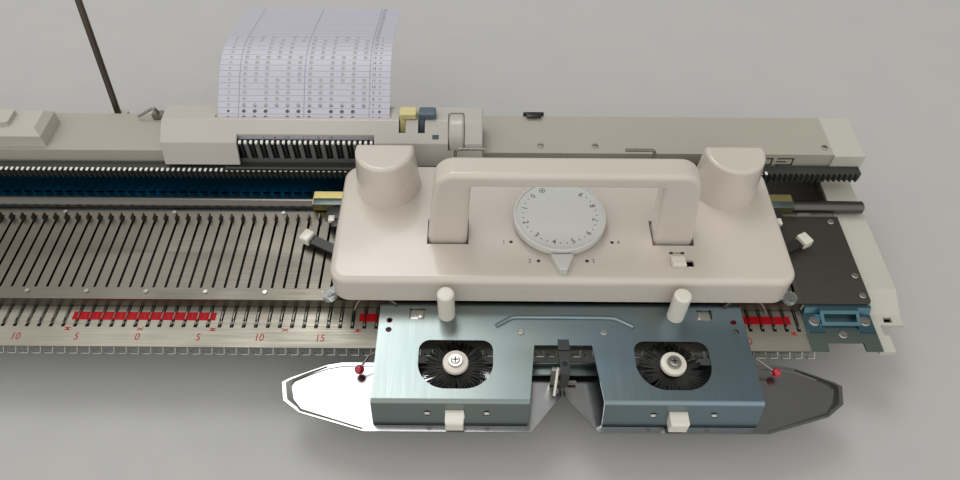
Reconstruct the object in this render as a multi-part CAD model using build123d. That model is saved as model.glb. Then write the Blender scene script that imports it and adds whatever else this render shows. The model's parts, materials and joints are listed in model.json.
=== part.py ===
from build123d import *
from math import atan2, cos, degrees, pi, radians, sin, sqrt, tan
import os

# Domestic knitting machine, chunky gauge: needle bed, carriage and punch card unit
# X runs along the bed, Y to the rear and Z up from the table.
# A height named below counts from the top of the slotted bed plate, unless it says otherwise.

# Needle bed
needle_pitch = 9.0
needle_count = 110
bed_height = 60.0            # bed plate's top above the table
sheet = 1.5                  # steel sheet of the bed and its end plates
bed_front = -70.0
bed_rear = 19.5
slot_front = -59.4
slot_rear = 12.0
slot_width = 2.0
rivet_front_y = -63.2
rivet_rear_y = 16.0
rivet_radius = 1.6
rivet_high = 0.8
rivet_step = 5                # needle spaces between two front rivets
needle_floor = -12.0         # floor that the needles slide on
channel_sheet = 2.0
channel_front = -104.0
wall_y = 48.0                # front face of the channel's rear wall
wall_top = 9.5
tail_hole = 6.4              # holes behind the needles' tails
tail_hole_low = 0.5
tail_hole_top = 3.0

# Needles, pushed back out of work
needle_thick = 1.4
needle_deep = 2.2
needle_front = -86.5
needle_rear = 44.0
butt_front = 5.4
butt_rear = 11.0
butt_top = 6.0
hook_drop = 1.0
hook_long = 4.0
neck_front = -81.5
neck_rear = -76.0
neck_share = 0.7             # neck's height as a share of the stem's
butt_chamfer = 0.8
needle_room = 0.6            # air between a stem and the bed plate's lips
retainer_room = 0.4

# Number plate and sinker posts in front of the bed
number_front = -105.0
number_rear = -66.0
number_top = -10.0
groove_width = 2.8
groove_front = -88.5
comb_bar_front = -102.0
comb_bar_rear = -98.0
comb_bottom = -19.0
comb_tooth_front = -109.0
comb_tooth_wide = 2.6
comb_pin_top = -12.0
comb_tooth_thick = 2.0

# Rear rail, a ground round bar
rail_radius = 5.25
rail_y = 25.0
rail_z = 2.0
rail_end_gap = 4.0           # rail end inside the end cap's outer face
seat_post_count = 11         # needle spaces between two rail seats
seat_deep = 8.0
seat_gap = 0.02

# Tooth rack behind the rail
rack_teeth_per_needle = 2
rack_bottom = 9.5
rack_top = 17.0
rack_pitch_y = 47.6
tooth_wide = 1.7             # width of a tooth on the pitch line
tooth_out = 1.0
tooth_in = 1.4
flank = 20.0
rack_shoulder = 57.5
rack_rear = 66.0
rack_flange = 2.0
rack_end_gap = 3.0

# Case, end caps and rear covers
end_zone = 51.5              # from the last needle space to the case's end
cap_width = 26.5
case_front = -50.0
case_rear = 105.5
case_wall = 2.0
foot_height = 4.0
foot_width = 24.0
foot_count = 5
foot_spacing = 240.0
cap_lip = -81.0               # front edge of an end cap
cap_lip_high = 4.0
ledge_front = -90.0           # of the ledge under the front plate
neck_wide = 7.5               # strip of the cap beside the front plate, and its wider toe
toe_wide = 11.5
toe_rear = -89.5
toe_front = -104.0
lip_hole_in = 11.3            # small hole behind the lip
lip_hole_wide = 6.4
lip_hole_deep = 4.5
cap_low_top = -12.0
cap_top = -4.0
cap_step = -72.0              # foot and head of the slope between the two tops
cap_slope = -53.0
cap_riser = 58.0
cap_wall = 2.5
cover_front = 60.0
cover_top = 28.0
cover_wall = 2.0

# End plates, front plates and setting brackets
end_plate_rear = 16.4
end_plate_top = 0.0
front_plate_front = -105.5
front_plate_top = -8.0
notch_wide = 27.0
notch_deep = 7.0
bracket_front = -86.0
bracket_rear = -70.0
bracket_gauge = 1.5
bracket_slot_wide = 24.0
bracket_slot_rear = -77.6
bracket_slot_front = -83.4
bracket_side = 2.5            # metal left beside and behind the slot
tab_wide = 12.0
tab_front = -90.5
tab_bend = -75.0
tab_screw_y = -81.5
screw_radius = 2.6
screw_head = 1.2
tab_screw_radius = 4.0
front_screw_radius = 3.2
front_screw_in = 13.5
plate_screw_rows = (-62.5, -44.0, 10.4)
plate_screw_in = (5.0, 5.0, 7.5)
cover_screw_row = 68.5
cover_screw_end = 5.7
cover_screw_out = (48.6, 94.4)   # from the punch card unit and from the row counter

# Punch card unit
unit_left = -11.0
unit_end = 8.0               # from the right bearing to the unit's end
unit_foot_y = 51.0           # lower edge of the front, which leans over the tooth rack
unit_foot_z = 21.0
unit_front = 57.4
unit_face_top = 40.0
unit_ridge_y = 74.0
unit_top = 50.3
unit_rear = 91.0
unit_wall = 2.5
unit_gap = 0.3
window_left = 52.0
window_right = 165.0
window_bottom = 20.0
window_top = 44.0
window_rear = 63.5
feeler_wide = 3.2
feeler_front = 58.2
feeler_rear = 60.4
tray_left = 40.0
tray_right = 171.0
tray_front = 47.5
tray_high = 3.6
card_y = 75.5                # axis of the card drum
card_z = 32.0
card_drum_radius = 12.5
card_shaft_radius = 3.0
card_left = 35.0
card_width = 142.0
card_gauge = 0.5
card_gap = 0.4
card_rise = 34.0             # angle at which the card leaves the drum
card_fall = -12.0            # angle at which its far end droops
card_straight = 43.5
card_bend = 60.0
card_tail = 64.0
card_wrap = 200.0            # where the card's lower end lies round the drum
card_slot = 1.2
feed_out = 20.2              # from the selector lever to the feed dial
feed_width = 12.5
feed_radius = 19.5
feed_gap = 0.6
lever_y = 64.0               # pivot of the two card levers
lever_z = 20.0
lever_pin = 2.0
lever_boss = 4.5
lever_reach = 37.2
lever_lean = 24.5
lever_swing = 14.0
lever_rib = 2.0
lever_arm_wide = 4.4
lever_arm_deep = 4.0
lever_cap_wide = 14.0
lever_cap_deep = 10.0
lever_cap_high = 5.0
lever_out = 8.6               # from the card's edge to the first lever
lever_pitch = 15.8
lever_slot_gap = 0.6
bearing_left = 14.0           # walls that carry the drum's shaft
bearing_out = 7.5             # from the feed dial to the right bearing
bearing_thick = 3.0
bearing_half = 7.0
shaft_over = 2.0
drum_groove_count = 11

# Row counter, mast and hook on the rear cover
counter_left = -215.0
counter_right = -111.5
counter_front = 64.0
counter_rear = 95.0
counter_high = 16.0
counter_bevel = 5.0
counter_lid_high = 4.0
counter_lid_left = -191.0
counter_lid_right = -137.5
counter_lid_in = 7.0
mast_x = -71.0
mast_y = 112.0
mast_z = 4.0
mast_lean = 12.0
mast_radius = 2.7
mast_length = 285.0
socket_size = 16.0
socket_high = 18.0
hook_x = -27.0
hook_wire = 1.2
hook_y = 101.5
hook_foot = 10.0
hook_rise = 11.0
hook_reach = 17.0

# Carriage, given from its own middle
carriage_x = 312.0
guide_half = 197.0
guide_inner = 150.0
guide_gap = 0.08
guide_wall = 1.6
cam_plate_bottom = 9.5
cam_plate_sheet = 2.0
cam_clear = 0.6              # lowest face of the cams above the bed plate
cam_stud = 3.0
stud_gap = 0.4
cam_washer = 5.0
cam_plate_gap = 0.2          # between the cam plate and the cover's wall
cover_half = 168.5
cover_y0 = -75.0
cover_y1 = 41.0
cover_z0 = 8.0
cover_z1 = 33.0
shell = 2.4
cover_corner = 14.0
cover_edge = 5.0

# Pattern drums and their domes
drum_in = 36.5               # from the cover's end to a drum's axis
drum_teeth = 24
drum_bottom = 12.5
drum_gear = 4.2
drum_top = 48.0
drum_disc_count = 4
drum_disc_high = 2.4
drum_core = 12.0
drum_disc = 15.0
drum_spindle = 4.0
dome_radius = 27.3
dome_y = 18.5
dome_rear = 25.0
dome_top = 71.0
dome_draft = 10.6
pocket_gap = 1.4

# Handle
leg_x = 83.5
leg_wide = 29.0
leg_front = -39.0
leg_rear = -19.0
handle_top = 102.5
handle_taper = 8.0           # how far each leg leans inwards to the top
grip_thick = 12.5
handle_round = 15.0
leg_foot = 28.0
hinge_y = -22.8
hinge_z = 37.2
hinge_pin = 2.0
ear_wide = 9.8
ear_front = 4.2
ear_rear = 3.3
ear_top = 4.3
ear_room = 6.6
ear_gap = 0.5
well_floor = 25.0
well_gap = 0.9
well_front_gap = 2.6
well_rear_gap = 1.4

# Tension dial and cam lever
dial_y = -19.0
dial_radius = 35.0
dial_face_radius = 33.0
dial_bottom = 36.7
dial_top = 42.0
dial_recess = 0.8
spindle_radius = 5.0
lever_ring = 31.0
lever_ring_bottom = 33.3
lever_ring_top = 36.3
pointer_reach = 50.0
pointer_top = 39.5
pointer_root = 22.0           # width of the pointer at the ring, at the dial's rim and at its tip
pointer_mid = 15.0
pointer_tip = 5.0
pointer_gap = 0.8
lever_ring_gap = 3.0         # round the dial's spindle

# Side levers and slide switch
side_pivot_x = 158.0
side_pivot_y = -35.0
side_knob_x = 196.0
side_knob_y = -15.0
side_arm_bottom = 5.0
side_arm_top = 7.7
switch_x = 84.0
switch_y = -58.0
switch_travel = 8.0
switch_stem_wide = 6.0
switch_stem_deep = 5.0
switch_cap_wide = 10.0
switch_cap_deep = 8.0
switch_cap_high = 4.0
switch_foot = 2.0             # foot beyond the stem on each side
switch_gap = 0.4
side_stud = 3.0
side_arm_wide = 8.0
side_knob_size = (10.0, 8.0, 7.0)
side_knob_z = 7.2

# Stitch cams slide along a slanting track, away from the middle and to the rear
cam_x = 46.0
cam_y = -27.0
cam_slant = 50.0
cam_travel_out = 3.4
cam_travel_in = 3.0

# Outlines of the fixed cams, as (x, y) points
middle_cam = [(-24, -36), (24, -36), (9, -56), (-9, -56)]
wing_cam = [(74, -14), (138, -14), (138, -20), (96, -20), (84, -50), (74, -50)]

# Glides under the cover's front corners
glide_out = 3.5              # beyond the cover's end
glide_y = -68.0
glide_radius = 5.0
glide_arm = 24.0
glide_arm_back = 14.0
glide_arm_wide = 6.0
glide_foot_radius = 4.0
glide_bottom = 1.6
glide_top = 6.2

# Sinker plate, hung in front of the bed
sinker_half = 132.7
sinker_rear = -74.5
sinker_front = -154.5
sinker_bottom = 3.0
flange_foot = -160.0
flange_bottom = -19.0
flange_bend = 3.5             # outside of the bend into the flange
mouth_rear = -110.0
mouth_half_rear = 20.5
mouth_half_front = 26.0
brush_x = 76.0
brush_y = -124.3
brush_hole_wide = 52.5
brush_hole_rear = -106.4
brush_hole_front = -144.5
bristle_radius = 22.0
bristle_bottom = -8.0
bristle_top = -3.0
hub_radius = 9.0
hub_top = 6.0
brush_pin = 3.0
carrier_top = -10.0
carrier_sheet = 2.0
brush_knob_wide = 12.5
brush_knob_front = -166.5
brush_knob_rear = -156.0
brush_knob_bottom = -15.0
brush_knob_top = -4.0
knob_gap = 0.3
thumb_x = 83.5
thumb_y = -85.0
thumb_radius = 6.2
thumb_high = 27.6
thumb_stem = 2.5
arm_wide = 18.0
arm_front = -98.0
arm_bottom = 1.6
arm_rear = -62.0

# Bumper plates under the sinker plate
bumper_rear = -112.0
bumper_front = -165.0
bumper_sheet = 1.5
bumper_gap = 0.5
bumper_nose = 23.5
bumper_side = 139.0
bumper_slant = 25.0
bumper_shoulder = [(185.3, -151.7), (198.0, -142.5), (201.5, -128.2), (196.3, -124.9), (171.0, -114.2)]
bumper_heel = 160.0
bumper_rim = 3.0

# Yarn feeder
feeder_half = 4.0
feeder_tip = 3.0              # half width at the feeder's front end
feeder_seat = 3.0             # where it lies on the sinker plate
feeder_root = 5.5             # from the mouth's rear edge to where it narrows
feeder_thick = 3.0
feeder_front = -134.0
feeder_low = -12.0
feeder_hole_y = -126.0
feeder_hole = 1.8
gate_y = -128.0
gate_pin_z = 2.0
gate_bar = 2.0
gate_left = -9.0
gate_right = 10.0
gate_low = -18.0

# Small windows, holes and screws of the sinker plate
window_x = 105.0
window_wide = 11.5
window_deep = 9.5
window_front = -88.9
hole_x = 125.0
hole_rows = (-90.0, -98.0)
hole_radius = 2.2
rib_screw_x = 30.0
rib_screw_y = -99.4
plate_screw_radius = 2.4

# Bent wires behind the cover
rear_wire_gap = 3.3
rear_wire_x = 80.0
rear_wire_end = 56.0
rear_wire_top = 47.0
rear_wire_radius = 1.3
rear_wire_bend = 4.0
rear_wire_foot_wide = 6.0
rear_wire_foot_high = 4.5

# Wires with a ball beside the sinker plate
ball_out = (13.0, 21.3)        # from the sinker plate's left and right end
ball_y = -121.0
ball_z = -13.0
ball_radius = 3.0
ball_wire = 0.9
ball_bend = 3.0
ball_stem_y = -113.0
ball_stem_z = -6.0
ball_stem_in = 3.0
ball_stem_out = 6.0

# Clearance of a pin in its hole
pin_gap = 0.05

# Worked-out sizes
half_bed = needle_pitch * needle_count / 2
case_half = half_bed + end_zone
machine_half = case_half + cap_width
needle_places = [(k + 0.5) * needle_pitch - half_bed for k in range(needle_count)]
post_places = [k * needle_pitch - half_bed for k in range(needle_count + 1)]
rack_pitch = needle_pitch / rack_teeth_per_needle
drum_pitch_radius = drum_teeth * rack_pitch / (2 * pi)
drum_y = rack_pitch_y - drum_pitch_radius
case_floor = foot_height - bed_height
channel_bottom = needle_floor - channel_sheet
sides = (-1, 1)
card_lever_x = card_left + card_width + lever_out
selector_lever_x = card_lever_x + lever_pitch
feed_left = selector_lever_x + lever_arm_wide + feed_out
bearing_right = feed_left + feed_width + bearing_out
unit_right = bearing_right + unit_end
drum_x = cover_half - drum_in
glide_x = cover_half + glide_out


def block(x0, x1, y0, y1, z0, z1):
    """Box between two corners."""
    middle = Pos((x0 + x1) / 2, (y0 + y1) / 2, bed_height + (z0 + z1) / 2)
    return middle * Box(abs(x1 - x0), abs(y1 - y0), abs(z1 - z0))


def post(x, y, z0, z1, radius):
    """Upright round bar."""
    return Pos(x, y, bed_height + (z0 + z1) / 2) * Cylinder(radius, z1 - z0)


def bar(x0, x1, y, z, radius):
    """Round bar along X."""
    return Pos((x0 + x1) / 2, y, bed_height + z) * Rot(0, 90, 0) * Cylinder(radius, abs(x1 - x0))


def side_prism(points, x0, x1):
    """Prism along X over an outline of (y, z) points."""
    corners = [(min(x0, x1), y, bed_height + z) for y, z in points]
    return extrude(make_face(Polyline(corners, close=True)), abs(x1 - x0), dir=(1, 0, 0))


def flat_prism(points, z0, z1):
    """Prism along Z over an outline of (x, y) points."""
    corners = [(x, y, bed_height + z0) for x, y in points]
    return extrude(make_face(Polyline(corners, close=True)), z1 - z0, dir=(0, 0, 1))


def rounded_block(x0, x1, y0, y1, z0, z1, corner):
    """Box with its four upright edges rounded."""
    body = block(x0, x1, y0, y1, z0, z1)
    return fillet(body.edges().filter_by(Axis.Z), corner)


def wire(points, radius, bend):
    """Bent round wire through (x, y, z) points."""
    path = [(x, y, bed_height + z) for x, y, z in points]
    line = FilletPolyline(path, radius=bend) if len(path) > 2 else Polyline(path)
    start = Plane(line @ 0, z_dir=line % 0)
    return sweep(start * Circle(radius), path=line)


def both(shapes):
    """Group of separate like solids."""
    return Compound(children=list(shapes))


# Case and covers

def case_base():
    floor = block(-case_half, case_half, case_front, case_rear, case_floor, case_floor + case_wall)
    front = block(-case_half, case_half, case_front, case_front + case_wall, case_floor, channel_bottom)
    back = block(-case_half, case_half, case_rear - case_wall, case_rear, case_floor, rack_bottom)
    return floor + front + back


def feet():
    first = -foot_spacing * (foot_count - 1) / 2
    strips = []
    for k in range(foot_count):
        x = first + k * foot_spacing
        strips.append(block(x - foot_width / 2, x + foot_width / 2,
                            case_front + 2 * case_wall, case_rear - 2 * case_wall,
                            -bed_height, case_floor))
    return both(strips)


def cap_nose(inset):
    """Front of an end cap's side view: it leans out to the lip. Drawn in by a wall."""
    low = cap_low_top - cap_lip_high
    if inset == 0:
        return [(case_front, case_floor), (cap_lip, low), (cap_lip, cap_low_top)]
    lean = (cap_lip - case_front) / (low - case_floor)
    start = case_front + inset * sqrt(1 + lean ** 2)
    high = cap_low_top - case_floor - inset
    return [(start + lean * inset, case_floor + inset), (start + lean * high, cap_low_top - inset)]


def cap_outline(inset):
    """Stepped side view of an end cap, drawn in by a wall."""
    w = inset
    return cap_nose(w) + [
            (cap_step + w, cap_low_top - w), (cap_slope + w, cap_top - w),
            (cap_riser + w, cap_top - w), (cap_riser + w, cover_top - w),
            (case_rear - w, cover_top - w), (case_rear - w, case_floor + w)]


def end_cap(side):
    outer = side_prism(cap_outline(0), side * case_half, side * machine_half)
    end_face = outer.faces().sort_by(Axis.X)[-1 if side > 0 else 0]
    outer = fillet(end_face.edges(), cap_lip_high * 0.4)
    cap = outer - side_prism(cap_outline(cap_wall), side * (case_half - 1),
                             side * (machine_half - cap_wall))
    lip_low = cap_low_top - cap_lip_high
    cap += side_prism(cap_nose(0) + [(case_front, cap_low_top)], side * case_half,
                      side * (case_half + cap_wall))
    cap += block(side * case_half, side * (case_half + neck_wide), toe_rear, cap_lip, lip_low,
                 cap_low_top)
    cap += block(side * case_half, side * (case_half + toe_wide), toe_front, toe_rear, lip_low,
                 cap_low_top)
    hole_near = case_half + lip_hole_in
    hole_rear = cap_lip + cap_wall + lip_hole_deep
    cap -= block(side * hole_near, side * (hole_near + lip_hole_wide), hole_rear - lip_hole_deep,
                 hole_rear, lip_low, cap_low_top + 1)
    front_top = front_plate_top - sheet
    plate_seat = end_plate_top - sheet
    rail_bed = rail_z - rail_radius - sheet
    ledge_rear = rail_y + 12
    ledge_outline = [(ledge_front, channel_bottom), (ledge_front, front_top), (bracket_rear, front_top),
                     (bracket_rear, plate_seat), (end_plate_rear, plate_seat),
                     (end_plate_rear, rail_bed), (ledge_rear, rail_bed), (ledge_rear, channel_bottom)]
    ledge = side_prism(ledge_outline, side * half_bed, side * case_half)
    seat_x = half_bed + end_zone / 2
    seat = block(side * (seat_x - 5), side * (seat_x + 5), rail_y - seat_deep / 2, rail_y + seat_deep / 2,
                 rail_bed, rail_z - rail_radius / 2)
    seat -= bar(-machine_half, machine_half, rail_y, rail_z, rail_radius + seat_gap)
    return cap + ledge + seat


def rear_cover(x0, x1):
    top = block(x0, x1, cover_front, case_rear, cover_top - cover_wall, cover_top)
    front = block(x0, x1, cover_front, cover_front + cover_wall, rack_bottom + rack_flange,
                  cover_top - cover_wall)
    back = block(x0, x1, case_rear - cover_wall, case_rear, rack_bottom, cover_top - cover_wall)
    return top + front + back


# Needle bed

def bed_channel():
    floor = block(-half_bed, half_bed, channel_front, wall_y + channel_sheet,
                  channel_bottom, needle_floor)
    wall = block(-half_bed, half_bed, wall_y, wall_y + channel_sheet, needle_floor, wall_top)
    holes = []
    for x in needle_places:
        holes.append(block(x - tail_hole / 2, x + tail_hole / 2, wall_y - 1,
                           wall_y + channel_sheet + 1, needle_floor + tail_hole_low,
                           needle_floor + tail_hole_top))
    wall -= holes
    seats = []
    for x in post_places[::seat_post_count]:
        if abs(x) < half_bed:
            seats.append(block(x - 2, x + 2, rail_y - seat_deep / 2, rail_y + seat_deep / 2,
                               needle_floor, rail_z - rail_radius / 2))
    rail = bar(-half_bed, half_bed, rail_y, rail_z, rail_radius + seat_gap)
    return floor + wall + [seat - rail for seat in seats]


def bed_plate():
    top = block(-half_bed, half_bed, bed_front, bed_rear, -sheet, 0)
    over_needles = needle_floor + needle_deep + needle_room
    lips = [block(-half_bed, half_bed, bed_front, bed_front + sheet, over_needles, -sheet),
            block(-half_bed, half_bed, bed_rear - sheet, bed_rear, over_needles, -sheet)]
    for side in sides:
        lips.append(block(side * (half_bed - sheet), side * half_bed, number_rear, bed_rear,
                          needle_floor, -sheet))
    slots = []
    for x in needle_places:
        slots.append(block(x - slot_width / 2, x + slot_width / 2, slot_front, slot_rear,
                           -sheet - 1, 1))
    return (top - slots) + lips


def needle_retainer():
    return block(-half_bed + 2 * sheet, half_bed - 2 * sheet, bed_front + sheet, slot_front - 1,
                 needle_floor + needle_deep + retainer_room, -sheet)


def needle():
    top = needle_floor + needle_deep
    neck = needle_floor + needle_deep * neck_share
    hook_end = needle_front + hook_long
    outline = [(needle_front + 1, needle_floor), (needle_rear, needle_floor), (needle_rear, top),
               (butt_rear, top), (butt_rear, butt_top - butt_chamfer), (butt_rear - butt_chamfer, butt_top),
               (butt_front, butt_top), (butt_front, top), (neck_rear + hook_long, top),
               (neck_rear, neck), (neck_front, neck), (hook_end, top), (needle_front + 1, top),
               (needle_front, top - hook_drop), (needle_front, needle_floor + hook_drop)]
    return side_prism(outline, -needle_thick / 2, needle_thick / 2)


def needles():
    one = needle()
    return both(Pos(x, 0, 0) * one for x in needle_places)


def number_plate():
    plate = block(-half_bed, half_bed, number_front, number_rear, needle_floor, number_top)
    grooves = []
    for x in needle_places:
        grooves.append(block(x - groove_width / 2, x + groove_width / 2, groove_front,
                             number_rear + 1, needle_floor - 1, number_top + 1))
    return plate - grooves


def sinker_comb():
    rail = block(-half_bed - comb_tooth_wide, half_bed + comb_tooth_wide,
                 comb_bar_front, comb_bar_rear, comb_bottom, channel_bottom)
    thick = comb_tooth_thick
    outline = [(comb_bar_front, comb_bottom), (comb_tooth_front, comb_bottom),
               (comb_tooth_front, comb_pin_top), (comb_tooth_front + thick, comb_pin_top),
               (comb_tooth_front + thick, comb_bottom + thick),
               (comb_bar_front, comb_bottom + thick)]
    tooth = side_prism(outline, -comb_tooth_wide / 2, comb_tooth_wide / 2)
    return rail + [Pos(x, 0, 0) * tooth for x in post_places]


def rear_rail():
    reach = machine_half - rail_end_gap
    body = bar(-reach, reach, rail_y, rail_z, rail_radius)
    return chamfer(body.edges(), 1.2)


def tooth_rack():
    slope = tan(radians(flank))
    tip = rack_pitch_y - tooth_out
    root = rack_pitch_y + tooth_in
    half_tip = tooth_wide / 2 - tooth_out * slope
    half_root = tooth_wide / 2 + tooth_in * slope
    reach = machine_half - rack_end_gap
    count = int((reach - half_root) / rack_pitch)
    points = [(-reach, root)]
    for k in range(-count, count + 1):
        x = k * rack_pitch
        points += [(x - half_root, root), (x - half_tip, tip), (x + half_tip, tip), (x + half_root, root)]
    points += [(reach, root), (reach, rack_shoulder), (-reach, rack_shoulder)]
    teeth = flat_prism(points, rack_bottom, rack_top)
    flange = block(-case_half, case_half, rack_shoulder, rack_rear, rack_bottom,
                   rack_bottom + rack_flange)
    return teeth + flange


# Ends of the bed

def end_plates():
    plates = []
    for side in sides:
        plate = block(side * half_bed, side * case_half, bracket_rear, end_plate_rear,
                      end_plate_top - sheet, end_plate_top)
        corner = plate.edges().filter_by(Axis.Z).sort_by(Axis.Y)[:2].sort_by(Axis.X)
        plates.append(fillet(corner[1 if side > 0 else 0], 4))
    return both(plates)


def front_plates():
    plates = []
    middle = half_bed + end_zone / 2
    for side in sides:
        plate = block(side * half_bed, side * case_half, front_plate_front, bracket_rear,
                      front_plate_top - sheet, front_plate_top)
        notch = block(side * (middle - notch_wide / 2), side * (middle + notch_wide / 2),
                      front_plate_front - 1, front_plate_front + notch_deep,
                      front_plate_top - sheet - 1, front_plate_top + 1)
        plates.append(plate - notch)
    return both(plates)


def end_brackets():
    """Slotted setting plates, screwed down by a tab at each end."""
    brackets = []
    middle = half_bed + end_zone / 2
    top = end_plate_top - sheet
    low = front_plate_top
    half = bracket_slot_wide / 2
    for side in sides:
        outline = [(bracket_rear, low), (bracket_rear, top), (bracket_slot_rear + bracket_side, top),
                   (bracket_front, low + 2 * bracket_gauge), (bracket_front, low)]
        body = side_prism(outline, side * (middle - half - bracket_side),
                          side * (middle + half + bracket_side))
        body -= block(side * (middle - half), side * (middle + half), bracket_slot_front,
                      bracket_slot_rear, low - 1, top + 1)
        tab = [(bracket_rear, low), (bracket_rear, top), (tab_bend + bracket_side, top),
               (tab_bend, low + bracket_gauge), (tab_front, low + bracket_gauge), (tab_front, low)]
        for near in (half_bed + 1, case_half - 1 - tab_wide):
            body += side_prism(tab, side * near, side * (near + tab_wide))
        brackets.append(body)
    return both(brackets)


def screw(x, y, z, radius=screw_radius):
    """Pan head resting on a surface."""
    head = post(x, y, z, z + screw_head, radius)
    head = chamfer(head.edges().sort_by(Axis.Z)[-1], screw_head * 0.4)
    return head - block(x - radius, x + radius, y - 0.4, y + 0.4, z + screw_head * 0.5, z + screw_head + 1)


def bed_screws():
    """Screws of the ends and covers, and the bed plate's rivets."""
    middle = half_bed + end_zone / 2
    tab_top = front_plate_top + bracket_gauge
    heads = []
    for side in sides:
        for x in (half_bed + 1 + tab_wide / 2, case_half - 1 - tab_wide / 2):
            heads.append(screw(side * x, tab_screw_y, tab_top, tab_screw_radius))
        heads.append(screw(side * middle, front_plate_front + front_screw_in, front_plate_top,
                           front_screw_radius))
        for y, inward in zip(plate_screw_rows, plate_screw_in):
            heads.append(screw(side * (case_half - inward), y, end_plate_top))
        heads.append(screw(side * (case_half - cover_screw_end), cover_screw_row, cover_top))
    for out in cover_screw_out:
        heads.append(screw(unit_right + out, cover_screw_row, cover_top))
        heads.append(screw(counter_left - out, cover_screw_row, cover_top))
    for x in post_places[rivet_step:-1:rivet_step]:
        heads.append(post(x, rivet_front_y, 0, rivet_high, rivet_radius))
    for x in post_places[rivet_step:-1:2 * rivet_step]:
        heads.append(post(x, rivet_rear_y, 0, rivet_high, rivet_radius))
    return both(heads)


# Punch card unit

def unit_outline(inset):
    """Side view of the housing: leaning front, slope, top and a step down to the rear cover."""
    w = inset
    seat = rack_bottom + rack_flange
    return [(unit_foot_y + w, unit_foot_z), (unit_front + w, unit_face_top - w * 0.3),
            (unit_ridge_y + w * 0.3, unit_top - w), (unit_rear - w, unit_top - w),
            (unit_rear - w, cover_top - w), (case_rear - w, cover_top - w), (case_rear - w, rack_bottom),
            (rack_rear + unit_gap, rack_bottom), (rack_rear + unit_gap, seat),
            (rack_shoulder + unit_gap, seat), (rack_shoulder + unit_gap, unit_foot_z)]


def lever_line(angle, radius):
    """Point at a distance from the card levers' pivot, leaning back by an angle."""
    return (lever_y + radius * sin(radians(angle)), lever_z + radius * cos(radians(angle)))


def punch_housing():
    outer = side_prism(unit_outline(0), unit_left, unit_right)
    ridges = outer.edges().filter_by(Axis.X).group_by(Axis.Z)[-2:]
    outer = fillet([edge for group in ridges for edge in group
                    if edge.center().Y < unit_rear - 1], 2.0)
    rims = [edge for face in outer.faces().filter_by(Axis.X) for edge in face.edges()
            if edge.center().Z > bed_height + unit_foot_z + 2 and edge.center().Y < unit_rear - 1]
    outer = fillet(rims, 1.5)
    hollow = unit_outline(unit_wall)[:6]
    hollow += [(case_rear - unit_wall, rack_bottom - 1), (unit_foot_y + unit_wall, rack_bottom - 1)]
    body = outer - side_prism(hollow, unit_left + unit_wall, unit_right - unit_wall)
    body -= block(window_left, window_right, unit_foot_y - 1, window_rear, window_bottom, window_top)
    body -= bar(card_left - 2, card_left + card_width + 2, card_y, card_z,
                card_drum_radius + 2 * card_gap + card_gauge)
    # the card's slot follows the card, from the drum to the top
    radius = card_drum_radius + card_gap + card_gauge / 2
    run = unit_top + 2 - (card_z + radius * cos(radians(card_rise)))
    leave = Pos(0, card_y, bed_height + card_z) * Rot(card_rise, 0, 0) * Pos(0, 0, radius)
    slot_long = run / sin(radians(card_rise))
    slot = Pos(card_left + card_width / 2, 0, 0) * leave * Pos(0, slot_long / 2, 0)
    body -= slot * Box(card_width + 4, slot_long, 2 * card_slot)
    body -= bar(feed_left - feed_gap, feed_left + feed_width + feed_gap, card_y, card_z,
                feed_radius + feed_gap)
    half_slot = lever_arm_deep / 2 + lever_slot_gap
    forward = lever_line(lever_lean - lever_swing, unit_face_top - lever_z)[0]
    backward = lever_y + (unit_top - lever_z) * tan(radians(lever_lean))
    slot_fore = forward - half_slot
    slot_back = backward + half_slot / cos(radians(lever_lean))
    for x in (card_lever_x, selector_lever_x):
        body -= block(x - lever_slot_gap, x + lever_arm_wide + lever_slot_gap, slot_fore, slot_back,
                      unit_face_top - 2 * unit_wall, unit_top + 1)
    # two ribs carry the levers' pin
    seat = rack_bottom + rack_flange
    rib_left = card_lever_x - lever_rib - 1
    rib_right = selector_lever_x + lever_arm_wide + lever_rib + 1
    for x in (rib_left, rib_right):
        body += block(x - lever_rib / 2, x + lever_rib / 2, lever_y - lever_boss, unit_rear - unit_wall / 2,
                      seat, lever_z + lever_boss)
        body += block(x - lever_rib / 2, x + lever_rib / 2, unit_rear - unit_wall, case_rear - unit_wall / 2,
                      seat, lever_z + lever_boss)
    body += bar(rib_left, rib_right, lever_y, lever_z, lever_pin)
    # two bearing walls carry the drum's shaft
    for x in (bearing_left, bearing_right):
        wall = block(x - bearing_thick / 2, x + bearing_thick / 2, card_y - bearing_half,
                     unit_rear - unit_wall / 2, seat, card_z + bearing_half)
        body += wall - bar(x - 2, x + 2, card_y, card_z, card_shaft_radius + pin_gap)
    return body


def feeler_comb():
    base = block(window_left - 1, window_right + 1, feeler_front, feeler_rear, rack_bottom + rack_flange,
                 window_bottom)
    fingers = []
    count = int((window_right - window_left) / needle_pitch)
    first = (window_left + window_right) / 2 - (count - 1) * needle_pitch / 2
    for k in range(count):
        x = first + k * needle_pitch
        fingers.append(block(x - feeler_wide / 2, x + feeler_wide / 2, feeler_front, feeler_rear,
                             window_bottom, unit_face_top - 1))
    return base + fingers


def feeler_tray():
    lean = (unit_front - unit_foot_y) / (unit_face_top - unit_foot_z)
    high = rack_top + tray_high
    rear = unit_foot_y - (unit_foot_z - rack_top) * lean - 0.5
    body = block(tray_left, tray_right, tray_front, rear, rack_top, high)
    return chamfer(body.edges().filter_by(Axis.X).group_by(Axis.Z)[-1].sort_by(Axis.Y)[0], 1.0)


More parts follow.
